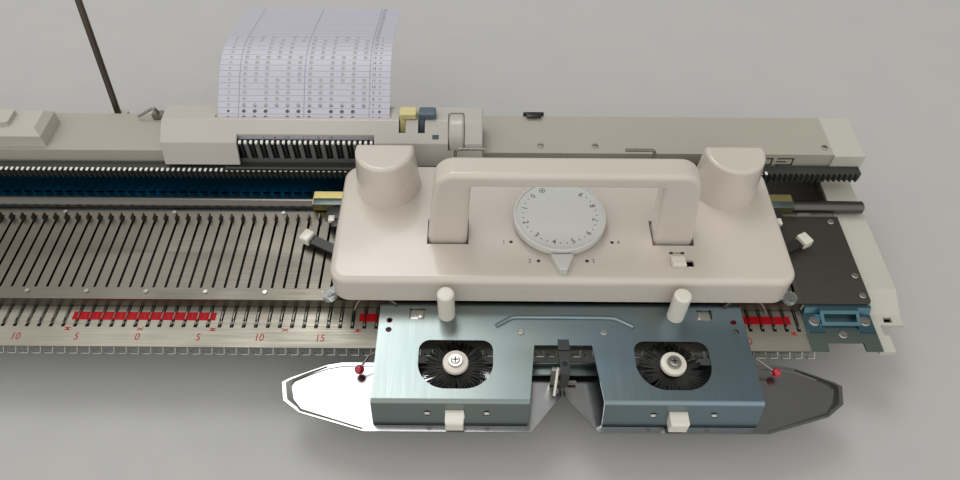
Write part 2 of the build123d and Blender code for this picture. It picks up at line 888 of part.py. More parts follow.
def punch_card():
    inner = card_drum_radius + card_gap
    outer = inner + card_gauge
    mid = (inner + outer) / 2

    def round_drum(angle):
        return (0, card_y + mid * cos(radians(angle)), bed_height + card_z + mid * sin(radians(angle)))

    leave = 90 + card_rise
    start = round_drum(leave)
    rise = (0, cos(radians(card_rise)), sin(radians(card_rise)))
    droop = (0, cos(radians(card_fall)), sin(radians(card_fall)))
    bend_start = Vector(*start) + Vector(*rise) * card_straight
    up = Vector(0, -sin(radians(card_rise)), cos(radians(card_rise)))
    centre = bend_start - up * card_bend
    bend_end = centre + Vector(0, -sin(radians(card_fall)), cos(radians(card_fall))) * card_bend
    half_turn = (card_rise + card_fall) / 2
    crest = centre + Vector(0, -sin(radians(half_turn)), cos(radians(half_turn))) * card_bend
    wrap = ThreePointArc(round_drum(card_wrap), round_drum((card_wrap + leave) / 2), start)
    run = Line(start, bend_start)
    arch = ThreePointArc(bend_start, crest, bend_end)
    tail = Line(bend_end, bend_end + Vector(*droop) * card_tail)
    path = Wire([wrap, run, arch, tail])
    section = Plane(path @ 0, x_dir=(1, 0, 0), z_dir=path % 0) * Rectangle(card_width, card_gauge)
    sheet_of_card = sweep(section, path=path, transition=Transition.RIGHT)
    return Pos(card_left + card_width / 2, 0, 0) * sheet_of_card


def card_drum():
    body = bar(card_left - 1, card_left + card_width + 1, card_y, card_z, card_drum_radius)
    for k in range(1, drum_groove_count + 1):
        x = card_left + k * card_width / (drum_groove_count + 1)
        body -= bar(x - 1, x + 1, card_y, card_z, card_drum_radius + 1) - \
            bar(x - 2, x + 2, card_y, card_z, card_drum_radius - 1.5)
    shaft = bar(bearing_left - shaft_over, bearing_right + shaft_over, card_y, card_z, card_shaft_radius)
    return body + shaft


def feed_dial():
    body = bar(feed_left, feed_left + feed_width, card_y, card_z, feed_radius)
    body = chamfer(body.edges(), 1.5)
    return body - bar(feed_left - 1, feed_left + feed_width + 1, card_y, card_z, card_shaft_radius)


def unit_lever(x):
    """Lever on the ribs' pin, its cap level and to the right of the arm."""
    hub = Axis((0, lever_y, bed_height + lever_z), (1, 0, 0))
    arm = block(x, x + lever_arm_wide, lever_y - lever_arm_deep / 2, lever_y + lever_arm_deep / 2,
                lever_z, lever_z + lever_reach)
    boss = bar(x, x + lever_arm_wide, lever_y, lever_z, lever_boss)
    cap_y, cap_z = lever_line(lever_lean, lever_reach)
    cap_low = cap_z - lever_cap_high / 2
    cap = block(x, x + lever_cap_wide, cap_y - lever_cap_deep / 2, cap_y + lever_cap_deep / 2,
                cap_low, cap_low + lever_cap_high)
    cap = fillet(cap.edges().filter_by(Axis.Z), 2.0)
    cap = fillet(cap.edges().group_by(Axis.Z)[-1], 1.2)
    hole = bar(x - 1, x + lever_arm_wide + 1, lever_y, lever_z, lever_pin + pin_gap)
    return arm.rotate(hub, -lever_lean) + cap + boss - hole


# On the rear cover

def row_counter():
    box = block(counter_left, counter_right, counter_front, counter_rear, cover_top,
                cover_top + counter_high)
    box = chamfer(box.edges().group_by(Axis.Z)[-1], counter_bevel)
    lid = block(counter_lid_left, counter_lid_right, counter_front + counter_lid_in,
                counter_rear - counter_lid_in, cover_top + counter_high,
                cover_top + counter_high + counter_lid_high)
    lid = fillet(lid.edges().filter_by(Axis.Z), 2.5)
    return box + lid


def mast_line(distance):
    lean = radians(mast_lean)
    return Vector(mast_x, mast_y + distance * sin(lean), bed_height + mast_z + distance * cos(lean))


def mast_bar(start, end, radius):
    lean = Vector(0, sin(radians(mast_lean)), cos(radians(mast_lean)))
    return extrude(Plane(mast_line(start), z_dir=lean) * Circle(radius), end - start)


def mast_socket():
    half = socket_size / 2
    body = block(mast_x - half, mast_x + half, case_rear, case_rear + socket_size,
                 mast_z - 2, mast_z - 2 + socket_high)
    body = fillet(body.edges().filter_by(Axis.Z).sort_by(Axis.Y)[-2:], 4.0)
    return body - mast_bar(0, socket_high + 10, mast_radius)


def mast_rod():
    rod = mast_bar(0, mast_length, mast_radius)
    return fillet(rod.edges().sort_by(Axis.Z)[-1], mast_radius * 0.8)


def wire_hook():
    half = hook_foot / 2
    foot = block(hook_x - half, hook_x + half, hook_y - 4, hook_y + 3, cover_top, cover_top + half)
    foot = fillet(foot.edges().filter_by(Axis.Z), 1.5)
    stem = wire([(hook_x, hook_y, cover_top + half - 1), (hook_x - 1, hook_y, cover_top + hook_rise),
                 (hook_x - hook_reach, hook_y - 3, cover_top + 3)], hook_wire, 2.5)
    return foot + stem


# Carriage

def at(x):
    """Place along the bed of a point given from the carriage's middle."""
    return carriage_x + x


def cam_plate():
    top = cam_plate_bottom + cam_plate_sheet
    inset = shell + cam_plate_gap
    plate = rounded_block(at(-cover_half + inset), at(cover_half - inset), cover_y0 + inset,
                          cover_y1 - inset, cam_plate_bottom, top, cover_corner - inset)
    cuts = [post(at(0), dial_y, cam_plate_bottom - 1, top + 1, spindle_radius + pin_gap)]
    for side in sides:
        cuts.append(post(at(side * drum_x), drum_y, cam_plate_bottom - 1, top + 1,
                         drum_spindle + pin_gap))
        cuts.append(post(at(side * side_pivot_x), side_pivot_y, cam_plate_bottom - 1, top + 1,
                         side_stud + pin_gap))
        cuts.append(cam_track(side, cam_stud + stud_gap))
    return plate - cuts


def cam_track(side, radius):
    """Slot in the cam plate for a stitch cam's stud."""
    ends = []
    for run in (-cam_travel_in - stud_gap, cam_travel_out + stud_gap):
        x = side * (cam_x + run * cos(radians(cam_slant)))
        y = cam_y + run * sin(radians(cam_slant))
        ends.append((at(x), y))
    (x0, y0), (x1, y1) = ends
    low = cam_plate_bottom - 1
    high = cam_plate_bottom + cam_plate_sheet + 1
    wide_x = radius * sin(radians(cam_slant)) * side
    wide_y = radius * cos(radians(cam_slant))
    middle = flat_prism([(x0 - wide_x, y0 + wide_y), (x1 - wide_x, y1 + wide_y),
                         (x1 + wide_x, y1 - wide_y), (x0 + wide_x, y0 - wide_y)], low, high)
    return middle + post(x0, y0, low, high, radius) + post(x1, y1, low, high, radius)


def stitch_cam(side):
    low = cam_clear
    high = cam_plate_bottom - 0.3
    points = [(at(side * (cam_x - 14)), cam_y + 7), (at(side * (cam_x + 9)), cam_y + 7),
              (at(side * (cam_x + 14)), cam_y + 2), (at(side * (cam_x + 2)), cam_y - 9)]
    body = flat_prism(points, low, high)
    stud_top = cam_plate_bottom + cam_plate_sheet + 0.3
    stud = post(at(side * cam_x), cam_y, high, stud_top, cam_stud)
    washer = post(at(side * cam_x), cam_y, stud_top, stud_top + sheet, cam_washer)
    return body + stud + washer


def raising_cams():
    low = cam_clear
    high = cam_plate_bottom
    cams = [flat_prism([(at(x), y) for x, y in middle_cam], low, high)]
    for side in sides:
        cams.append(flat_prism([(at(side * x), y) for x, y in wing_cam], low, high))
    return both(cams)


def dome(side, inset):
    """D-shaped tower over a pattern drum, its flat side to the rear."""
    top = dome_top - inset
    base = Plane((at(side * drum_x), dome_y, bed_height + cover_z0)) * Circle(dome_radius - inset)
    tip = Plane((at(side * drum_x), dome_y, bed_height + top)) * \
        Circle(dome_radius - inset - dome_draft / 2)
    tower = loft([base, tip])
    beyond = dome_radius + 1
    return tower - block(at(side * drum_x) - beyond, at(side * drum_x) + beyond, dome_rear,
                         dome_rear + beyond, cover_z0 - 1, dome_top + 1)


def carriage_cover():
    body = rounded_block(at(-cover_half), at(cover_half), cover_y0, cover_y1, cover_z0, cover_z1,
                         cover_corner)
    body = fillet(body.edges().group_by(Axis.Z)[-1], cover_edge)
    for side in sides:
        tower = dome(side, 0)
        rim = tower.faces().sort_by(Axis.Z)[-1].edges()
        body += fillet(rim, 3.0)
    hollow = rounded_block(at(-cover_half + shell), at(cover_half - shell), cover_y0 + shell,
                           cover_y1 - shell, cover_z0 - 1, cover_z1 - shell, cover_corner - shell)
    body -= hollow
    pocket_radius = drum_pitch_radius + tooth_out + pocket_gap
    for side in sides:
        x = at(side * drum_x)
        body -= dome(side, shell)
        body -= post(x, drum_y, cam_plate_bottom + cam_plate_sheet, dome_top - shell, pocket_radius)
        body -= block(x - pocket_radius, x + pocket_radius, drum_y, cover_y1 + 5,
                      cam_plate_bottom + cam_plate_sheet, dome_top - shell)
        body -= block(at(side * guide_inner), at(side * (cover_half + 1)),
                      rail_y - rail_radius - guide_wall - 1, rail_y + rail_radius + guide_wall + 1,
                      cover_z0 - 1, cam_plate_bottom + 0.4)
        # well and hinge ear for one handle leg
        leg = at(side * leg_x)
        half = leg_wide / 2 + well_gap
        front = leg_front - well_front_gap
        rear = leg_rear + well_rear_gap
        body += block(leg - half - shell, leg + half + shell, front - shell, rear + shell,
                      well_floor - shell, cover_z1 - shell)
        body -= block(leg - half, leg + half, front, rear, well_floor, cover_z1 + 1)
        ear = block(leg - ear_wide / 2, leg + ear_wide / 2, hinge_y - ear_front, hinge_y + ear_rear,
                    well_floor, hinge_z + ear_top)
        body += ear - bar(leg - leg_wide, leg + leg_wide, hinge_y, hinge_z, hinge_pin)
    body -= post(at(0), dial_y, cover_z0, cover_z1 + 1, spindle_radius + 0.3)
    slot_half = (switch_travel + switch_stem_wide) / 2 + switch_gap
    slot_deep = switch_stem_deep / 2 + switch_gap
    slot_x = at(switch_x + switch_travel / 2)
    body -= block(slot_x - slot_half, slot_x + slot_half, switch_y - slot_deep, switch_y + slot_deep,
                  cover_z1 - 2 * shell, cover_z1 + 1)
    return body


def rail_guides():
    guides = []
    for side in sides:
        x0 = at(side * guide_inner)
        x1 = at(side * guide_half)
        outer = rail_radius + guide_wall
        body = bar(x0, x1, rail_y, rail_z, outer) + \
            block(x0, x1, rail_y - outer, rail_y + outer, rail_z, cam_plate_bottom)
        body -= bar(x0 - side, x1 + side, rail_y, rail_z, rail_radius + guide_gap)
        body -= block(x0 - side, x1 + side, rail_y - 2 * outer, rail_y + 2 * outer,
                      rail_z - 2 * outer, rail_z - 0.5)
        body -= block(x0 - side, x1 + side, rail_y - 2 * outer, rail_y + 2 * outer,
                      cam_plate_bottom, rail_z + 2 * outer)
        guides.append(body)
    return both(guides)


def drum_gear_outline(side):
    """Toothed outline whose teeth fall between the rack's."""
    slope = tan(radians(flank))
    tip = drum_pitch_radius + tooth_out
    root = drum_pitch_radius - tooth_in
    half_tip = (tooth_wide / 2 - tooth_out * slope) / tip
    half_root = (tooth_wide / 2 + tooth_in * slope) / root
    x = at(side * drum_x)
    phase = ((rack_pitch / 2 - x) % rack_pitch) / drum_pitch_radius
    points = []
    for k in range(drum_teeth):
        middle = phase + 2 * pi * k / drum_teeth
        for angle, radius in ((-half_root, root), (-half_tip, tip), (half_tip, tip), (half_root, root)):
            a = middle + angle
            points.append((x + radius * sin(a), drum_y + radius * cos(a)))
    return points


def pattern_drum(side):
    x = at(side * drum_x)
    gear = flat_prism(drum_gear_outline(side), drum_bottom, drum_bottom + drum_gear)
    core = post(x, drum_y, drum_bottom + drum_gear, drum_top, drum_core)
    discs = []
    disc_step = (drum_top - drum_bottom - drum_gear) / drum_disc_count
    for k in range(1, drum_disc_count + 1):
        z = drum_bottom + drum_gear + k * disc_step
        discs.append(post(x, drum_y, z - drum_disc_high, z, drum_disc))
    spindle = post(x, drum_y, cam_plate_bottom, drum_bottom, drum_spindle)
    return gear + core + discs + spindle


def handle():
    half_base = leg_x + leg_wide / 2
    half_top = half_base - handle_taper
    z0 = bed_height + leg_foot
    z1 = bed_height + handle_top
    inner_base = leg_x - leg_wide / 2
    inner_top = inner_base - handle_taper * 0.4
    z2 = z1 - grip_thick
    outer = [(at(-half_base), z0), (at(-half_base), z0 + 8), (at(-half_top), z1), (at(half_top), z1),
             (at(half_base), z0 + 8), (at(half_base), z0)]
    inner = [(at(-inner_base), z0 - 5), (at(-inner_base), z0 + 8), (at(-inner_top), z2),
             (at(inner_top), z2), (at(inner_base), z0 + 8), (at(inner_base), z0 - 5)]

    def arch(points, corner):
        line = Polyline([(x, leg_rear, z) for x, z in points], close=True)
        body = extrude(make_face(line), leg_rear - leg_front, dir=(0, -1, 0))
        top = body.edges().filter_by(Axis.Y).group_by(Axis.Z)[-1]
        return fillet(top, corner)

    body = arch(outer, handle_round) - arch(inner, handle_round - grip_thick)
    front = body.faces().sort_by(Axis.Y)[0].edges()
    rear = body.faces().sort_by(Axis.Y)[-1].edges()
    rims = [edge for edge in front + rear if edge.center().Z > z0 + 1]
    body = fillet(rims, 4.0)
    for side in sides:
        leg = at(side * leg_x)
        half_room = ear_wide / 2 + ear_gap
        body -= block(leg - half_room, leg + half_room, hinge_y - ear_room, leg_rear + 1,
                      leg_foot - 1, hinge_z + ear_room)
        body -= bar(leg - leg_wide, leg + leg_wide, hinge_y, hinge_z, hinge_pin + pin_gap)
    return body


def handle_pins():
    pins = []
    for side in sides:
        leg = at(side * leg_x)
        pins.append(bar(leg - leg_wide / 2 + 1, leg + leg_wide / 2 - 1, hinge_y, hinge_z, hinge_pin))
    return both(pins)


def tension_dial():
    disc = post(at(0), dial_y, dial_bottom, dial_top, dial_radius)
    disc = fillet(disc.edges().sort_by(Axis.Z)[-1], 1.2)
    disc -= post(at(0), dial_y, dial_top - dial_recess, dial_top + 1, dial_face_radius)
    spindle = post(at(0), dial_y, cam_plate_bottom, dial_bottom, spindle_radius)
    return both([disc, spindle])


def cam_lever():
    """Flat lever under the dial, and the pointer's cap on it."""
    ring = post(at(0), dial_y, lever_ring_bottom, lever_ring_top, lever_ring)
    tip = dial_y - pointer_reach
    start = dial_y - dial_radius - pointer_gap
    low = bed_height + lever_ring_bottom
    right = [(pointer_root / 2, dial_y - lever_ring + 11), (pointer_mid / 2, start - 2),
             (pointer_tip / 2, tip)]
    outline = [(at(x), y, low) for x, y in right] + [(at(-x), y, low) for x, y in reversed(right)]
    sole = make_face(Polyline(outline, close=True))
    arm = extrude(sole, lever_ring_top - lever_ring_bottom, dir=(0, 0, 1))
    flat = ring + arm - post(at(0), dial_y, lever_ring_bottom - 1, lever_ring_top + 1,
                             spindle_radius + lever_ring_gap)
    knob = extrude(sole, pointer_top - lever_ring_bottom, dir=(0, 0, 1))
    knob -= block(at(-lever_ring), at(lever_ring), start, dial_y, lever_ring_bottom - 1, pointer_top + 1)
    knob -= block(at(-lever_ring), at(lever_ring), tip - 1, dial_y, lever_ring_bottom - 1, lever_ring_top)
    knob = fillet(knob.edges().group_by(Axis.Z)[-1], 0.8)
    return both([flat, knob])


def side_lever(side):
    x0, y0 = at(side * side_pivot_x), side_pivot_y
    x1, y1 = at(side * side_knob_x), side_knob_y
    turn = atan2(y1 - y0, x1 - x0)
    half = side_arm_wide / 2
    dx, dy = half * sin(turn), half * cos(turn)
    arm = flat_prism([(x0 - dx, y0 + dy), (x1 - dx, y1 + dy), (x1 + dx, y1 - dy), (x0 + dx, y0 - dy)],
                     side_arm_bottom, side_arm_top)
    arm += post(x0, y0, side_arm_bottom, side_arm_top, half + 1)
    knob = Pos(x1, y1, bed_height + side_knob_z) * Rot(0, 0, degrees(turn) + 90) * Box(*side_knob_size)
    knob = fillet(knob.edges(), 1.5)
    stud = post(x0, y0, side_arm_top, cam_plate_bottom + cam_plate_sheet + 2, side_stud)
    return arm + knob + stud


def slide_switch():
    x = at(switch_x)
    half_cap = switch_cap_wide / 2
    half_stem = switch_stem_wide / 2
    deep_stem = switch_stem_deep / 2
    under = cover_z1 - shell - switch_gap
    cap = block(x - half_cap, x + half_cap, switch_y - switch_cap_deep / 2, switch_y + switch_cap_deep / 2,
                cover_z1 + switch_gap, cover_z1 + switch_cap_high)
    cap = fillet(cap.edges().group_by(Axis.Z)[-1], 1.0)
    stem = block(x - half_stem, x + half_stem, switch_y - deep_stem, switch_y + deep_stem,
                 under, cover_z1 + switch_gap)
    foot = block(x - half_stem - 2 * switch_foot, x + half_stem + 2 * switch_foot,
                 switch_y - deep_stem - switch_foot, switch_y + deep_stem + switch_foot,
                 under - switch_foot, under)
    return cap + stem + foot


# Sinker plate and what hangs on it

def brush_hole(side):
    x = at(side * brush_x)
    half = brush_hole_wide / 2
    hole = block(x - half, x + half, brush_hole_front, brush_hole_rear, sinker_bottom - 1,
                 sinker_bottom + sheet + 1)
    uprights = hole.edges().filter_by(Axis.Z).sort_by(Axis.Y)
    hole = fillet(uprights[:2], 20.0)
    return fillet(hole.edges().filter_by(Axis.Z).sort_by(Axis.Y)[-2:], 8.0)


def sinker_plate():
    outline = [(sinker_rear, sinker_bottom), (sinker_rear, sinker_bottom + sheet),
               (sinker_front, sinker_bottom + sheet), (flange_foot, flange_bottom),
               (flange_foot + sheet, flange_bottom), (sinker_front + sheet, sinker_bottom)]
    plate = side_prism(outline, at(-sinker_half), at(sinker_half))
    along = plate.edges().filter_by(Axis.X)
    top_bend = along.sort_by_distance((at(0), sinker_front, bed_height + sinker_bottom + sheet))[0]
    plate = fillet(top_bend, flange_bend)
    along = plate.edges().filter_by(Axis.X)
    low_bend = along.sort_by_distance((at(0), sinker_front + sheet, bed_height + sinker_bottom))[0]
    plate = fillet(low_bend, flange_bend - sheet)
    mouth = flat_prism([(at(-mouth_half_rear), mouth_rear), (at(mouth_half_rear), mouth_rear),
                        (at(mouth_half_front), flange_foot - 2),
                        (at(-mouth_half_front), flange_foot - 2)],
                       flange_bottom - 1, sinker_bottom + sheet + 1)
    plate -= mouth
    for side in sides:
        plate -= brush_hole(side)
        x = at(side * brush_x)
        half = brush_knob_wide / 2 + knob_gap
        plate -= block(x - half, x + half, flange_foot - 2, sinker_front + sheet + 3,
                       brush_knob_bottom - knob_gap, brush_knob_top + knob_gap)
        plate -= post(at(side * thumb_x), thumb_y, sinker_bottom - 1, sinker_bottom + sheet + 1,
                      thumb_stem + 0.3)
        x = at(side * window_x)
        plate -= block(x - window_wide / 2, x + window_wide / 2, window_front, window_front + window_deep,
                       sinker_bottom - 1, sinker_bottom + sheet + 1)
        for y in hole_rows:
            plate -= post(at(side * hole_x), y, sinker_bottom - 1, sinker_bottom + sheet + 1,
                          hole_radius)
    return plate


def sinker_arms():
    arms = []
    for side in sides:
        x = at(side * thumb_x)
        outline = [(arm_front, arm_bottom), (arm_front, sinker_bottom), (arm_rear, sinker_bottom),
                   (arm_rear, cam_plate_bottom), (arm_rear + 1.8, cam_plate_bottom),
                   (arm_rear + 1.8, arm_bottom)]
        arm = side_prism(outline, x - arm_wide / 2, x + arm_wide / 2)
        arms.append(arm - post(x, thumb_y, arm_bottom - 1, sinker_bottom + 1, thumb_stem + 0.3))
    return both(arms)


def thumb_screw(side):
    x = at(side * thumb_x)
    base = sinker_bottom + sheet + 0.3
    head = post(x, thumb_y, base, base + thumb_high, thumb_radius)
    head = fillet(head.edges().sort_by(Axis.Z)[-1], 2.0)
    return head + post(x, thumb_y, arm_bottom - 3, base, thumb_stem)


def brush(side):
    x = at(side * brush_x)
    bristles = post(x, brush_y, bristle_bottom, bristle_top, bristle_radius)
    hub = post(x, brush_y, bristle_top, hub_top, hub_radius)
    hub = fillet(hub.edges().sort_by(Axis.Z)[-1], 1.5)
    return bristles + hub - post(x, brush_y, bristle_bottom - 1, hub_top + 1, brush_pin + 0.08)


def brush_lever(side):
    """Push knob, carrier strip under the brush and the pin that the brush turns on."""
    x = at(side * brush_x)
    strip = block(x - 5, x + 5, brush_knob_rear, brush_y + 6, carrier_top - carrier_sheet, carrier_top)
    knob = block(x - brush_knob_wide / 2, x + brush_knob_wide / 2, brush_knob_front,
                 brush_knob_rear, brush_knob_bottom, brush_knob_top)
    knob = fillet(knob.edges().group_by(Axis.Y)[0], 1.5)
    pin = post(x, brush_y, carrier_top, hub_top + 0.4, brush_pin)
    head = post(x, brush_y, hub_top + 0.4, hub_top + 1.8, 4.5)
    return strip + knob + pin + head


def bumper(side):
    """Plate with a flat front, a rounded outer corner and a raised rim."""
    right = [(bumper_gap, bumper_rear), (bumper_gap, bumper_rear - bumper_slant),
             (bumper_nose, bumper_front), (bumper_side, bumper_front)]
    right += bumper_shoulder + [(bumper_heel, bumper_rear)]
    plate = flat_prism([(at(side * x), y) for x, y in right], flange_bottom - bumper_sheet, flange_bottom)
    inner = offset(plate.faces().sort_by(Axis.Z)[-1], -bumper_rim)
    return plate - extrude(inner, bumper_sheet / 2, dir=(0, 0, -1))


def yarn_feeder():
    half = feeder_half
    top = sinker_bottom + sheet
    tongue_front = mouth_rear - feeder_root
    tongue = block(at(-half), at(half), tongue_front, mouth_rear + feeder_seat, top, top + feeder_thick)
    eyelet = flat_prism([(at(-half), tongue_front), (at(half), tongue_front),
                         (at(feeder_tip), feeder_front), (at(-feeder_tip), feeder_front)],
                        top, top + feeder_thick - 1)
    nose = block(at(-feeder_tip), at(feeder_tip), feeder_front, feeder_front + 4, feeder_low, top)
    hole = post(at(0), feeder_hole_y, top - 1, top + feeder_thick, feeder_hole)
    return tongue + eyelet - hole + nose


def feeder_gate():
    """Small latch that closes the feeder's mouth."""
    body = bar(at(gate_left), at(-feeder_tip - knob_gap), gate_y, gate_pin_z, gate_bar)
    body += block(at(gate_left), at(gate_left + 3), gate_y - 1.5, gate_y + 1.5, gate_low + 2, gate_pin_z - 1)
    body += block(at(gate_left), at(gate_right), gate_y - 1.5, gate_y + 0.5, gate_low, gate_low + 3)
    return body


def guide_wires():
    """Two bent wires behind the cover, and a wire with a ball at each side of the sinker plate."""
    rear_y = cover_y1 + rear_wire_gap
    foot_top = cam_plate_bottom + rear_wire_foot_high
    half_foot = rear_wire_foot_wide / 2
    wires = []
    for side, out in zip(sides, ball_out):
        x = at(side * rear_wire_x)
        bent = wire([(x, rear_y, foot_top - 2), (x, rear_y, rear_wire_top),
                     (at(side * rear_wire_end), rear_y, rear_wire_top)], rear_wire_radius, rear_wire_bend)
        foot = block(x - half_foot, x + half_foot, cover_y1, rear_y + rear_wire_radius,
                     cam_plate_bottom, foot_top)
        wires.append(bent + foot)
        ball_x = at(side * (sinker_half + out))
        stem = wire([(at(side * (sinker_half - ball_stem_in)), ball_stem_y, sinker_bottom - ball_wire),
                     (at(side * (sinker_half + ball_stem_out)), ball_stem_y, ball_stem_z),
                     (ball_x, ball_y, ball_z)], ball_wire, ball_bend)
        ball = Pos(ball_x, ball_y, bed_height + ball_z) * Sphere(ball_radius)
        wires.append(stem + ball)
    return both(wires)


def front_glides():
    """Low pads on straps under the front corners of the cover."""
    glides = []
    for side in sides:
        pad = post(at(side * glide_x), glide_y, glide_bottom, glide_top, glide_radius)
        foot_x = glide_x - glide_arm
        foot_y = glide_y + glide_arm_back
        foot = post(at(side * foot_x), foot_y, glide_top, cam_plate_bottom, glide_foot_radius)
        half = glide_arm_wide / 2
        strap = flat_prism([(at(side * glide_x), glide_y - half), (at(side * (glide_x + 2)), glide_y + half),
                            (at(side * foot_x), foot_y + glide_foot_radius),
                            (at(side * (foot_x - glide_foot_radius)), foot_y - 2)],
                           glide_top, glide_top + sheet)
        glides.append(pad + foot + strap)
    return both(glides)


def carriage_screws():
    heads = []
    top = sinker_bottom + sheet
    for side in sides:
        heads.append(screw(at(side * rib_screw_x), rib_screw_y, top, plate_screw_radius))
    return both(heads)


def parts():
    nodes = {
        "case_base": case_base(),
        "feet": feet(),
        "end_cap_left": end_cap(-1),
        "end_cap_right": end_cap(1),
        "bed_plate": bed_plate(),
        "number_plate": number_plate(),
        "sinker_comb": sinker_comb(),
        "needles": needles(),
        "needle_retainer": needle_retainer(),
        "bed_channel": bed_channel(),
        "rear_rail": rear_rail(),
        "tooth_rack": tooth_rack(),
        "end_plates": end_plates(),
        "front_plates": front_plates(),
        "end_brackets": end_brackets(),
        "rear_cover_left": rear_cover(-case_half, unit_left - unit_gap),
        "rear_cover_right": rear_cover(unit_right + unit_gap, case_half),
        "punch_housing": punch_housing(),
        "feeler_comb": feeler_comb(),
        "feeler_tray": feeler_tray(),
        "punch_card": punch_card(),
        "row_counter": row_counter(),
        "mast_socket": mast_socket(),
        "mast_rod": mast_rod(),
        "wire_hook": wire_hook(),
        "bed_screws": bed_screws(),
        "card_drum": card_drum(),
        "feed_dial": feed_dial(),
        "card_lever": unit_lever(card_lever_x),
        "selector_lever": unit_lever(selector_lever_x),
        "cam_plate": cam_plate(),
        "raising_cams": raising_cams(),
        "stitch_cam_left": stitch_cam(-1),
        "stitch_cam_right": stitch_cam(1),
        "carriage_cover": carriage_cover(),
        "rail_guides": rail_guides(),
        "front_glides": front_glides(),
        "sinker_plate": sinker_plate(),
        "sinker_arms": sinker_arms(),
        "bumper_left": bumper(-1),
        "bumper_right": bumper(1),
        "yarn_feeder": yarn_feeder(),
        "guide_wires": guide_wires(),
        "carriage_screws": carriage_screws(),
        "handle": handle(),
        "handle_pins": handle_pins(),
        "tension_dial": tension_dial(),
        "cam_lever": cam_lever(),
        "side_lever_left": side_lever(-1),
        "side_lever_right": side_lever(1),
        "slide_switch": slide_switch(),
        "pattern_drum_left": pattern_drum(-1),
        "pattern_drum_right": pattern_drum(1),
        "thumb_screw_left": thumb_screw(-1),
        "thumb_screw_right": thumb_screw(1),
        "brush_left": brush(-1),
        "brush_right": brush(1),
        "brush_lever_left": brush_lever(-1),
        "brush_lever_right": brush_lever(1),
        "feeder_gate": feeder_gate(),
    }
    return nodes


os.makedirs("parts", exist_ok=True)
for name, shape in parts().items():
    export_step(shape, "parts/" + name + ".step")
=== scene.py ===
# %% [markdown]
# This lesson dresses a flat-bed knitting machine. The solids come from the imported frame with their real
# sizes and joints. Here each one gets its finish, and the small things that are too fine for the solids
# are modelled with bmesh: needles with hooks and latches, print, bristles, the punched card.

# %% Load the frame
import json
from math import atan2, cos, pi, radians, sin, tan

import bmesh
import bpy
from mathutils import Matrix, Vector


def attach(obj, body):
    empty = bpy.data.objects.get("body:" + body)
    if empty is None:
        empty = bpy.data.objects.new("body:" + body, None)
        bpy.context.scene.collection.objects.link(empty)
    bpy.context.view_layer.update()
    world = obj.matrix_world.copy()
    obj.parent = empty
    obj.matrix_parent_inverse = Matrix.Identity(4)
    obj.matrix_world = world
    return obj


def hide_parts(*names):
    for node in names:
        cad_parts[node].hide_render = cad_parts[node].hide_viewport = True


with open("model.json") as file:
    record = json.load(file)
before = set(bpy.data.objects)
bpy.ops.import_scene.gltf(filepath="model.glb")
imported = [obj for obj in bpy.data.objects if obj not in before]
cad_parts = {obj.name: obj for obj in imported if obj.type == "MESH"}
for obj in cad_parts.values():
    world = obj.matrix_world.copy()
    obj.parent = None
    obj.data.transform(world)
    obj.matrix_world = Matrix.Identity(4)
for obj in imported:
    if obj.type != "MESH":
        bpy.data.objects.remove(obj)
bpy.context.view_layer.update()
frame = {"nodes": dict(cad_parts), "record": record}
print("pieces in the frame:", len(frame["nodes"]))

# %% [markdown]
# Everything below is in millimetres, as a mechanic measures such a machine. Heights count from the top
# of the slotted bed plate, and lengths run along the bed from the middle of the needle scale. One pair
# of numbers takes those millimetres to Blender's metres over the table.

# %% Units and main places
MM = 0.001
BED_TOP = 60.0
NEEDLE_PITCH = 9.0
NEEDLES = 110
HALF_BED = NEEDLE_PITCH * NEEDLES / 2
CARRIAGE_X = 312.0
SIDES = ((-1, "left"), (1, "right"))


def at(x):
    """Place along the bed of a point given from the carriage's middle."""
    return CARRIAGE_X + x


def spot(x, y, z):
    """Point in metres over the table."""
    return Vector((x, y, z + BED_TOP)) * MM


print("bed length", 2 * HALF_BED, "mm")

# %% [markdown]
# The camera repeats the one that took the picture: a phone's wide lens, 51 degrees down, a little to the
# right of the needle scale's zero. Its small roll is kept too, since a long machine shows it.

# %% Camera
CAMERA_AT = (253.7, -373.0, 449.2)
CAMERA_DOWN = radians(51.13)
CAMERA_YAW = -0.00389
CAMERA_ROLL = radians(-0.229)
LENS = 27.0
SENSOR_WIDTH = 36.0
NEAREST_M = 0.01

camera_data = bpy.data.cameras.new("camera")
camera_data.lens = LENS
camera_data.sensor_width = SENSOR_WIDTH
camera_data.clip_start = NEAREST_M
camera = bpy.data.objects.new("camera", camera_data)
bpy.context.scene.collection.objects.link(camera)
forward = Vector((sin(CAMERA_YAW) * cos(CAMERA_DOWN), cos(CAMERA_YAW) * cos(CAMERA_DOWN),
                  -sin(CAMERA_DOWN)))
level = Vector((cos(CAMERA_YAW), -sin(CAMERA_YAW), 0.0))
down = forward.cross(level)
right = cos(CAMERA_ROLL) * level + sin(CAMERA_ROLL) * down
down = cos(CAMERA_ROLL) * down - sin(CAMERA_ROLL) * level
turn = Matrix((right, -down, -forward)).transposed()
camera.matrix_world = Matrix.Translation(spot(*CAMERA_AT)) @ turn.to_4x4()
bpy.context.scene.camera = camera
print("camera at", [round(c, 3) for c in camera.matrix_world.translation])

# %% [markdown]
# Colours are written as sRGB hex, the way a paint chart gives them. Shaders want linear light, so one
# function converts them with the sRGB standard's own numbers. The others add a shader node, set it and
# wire it up, which keeps every material short enough to read.

# %% Colour and node helpers


def linear(code):
    """Linear colour of an sRGB hex code."""
    parts = [int(code[k:k + 2], 16) / 255 for k in (1, 3, 5)]
    return [c / 12.92 if c <= 0.04045 else ((c + 0.055) / 1.055) ** 2.4 for c in parts] + [1.0]


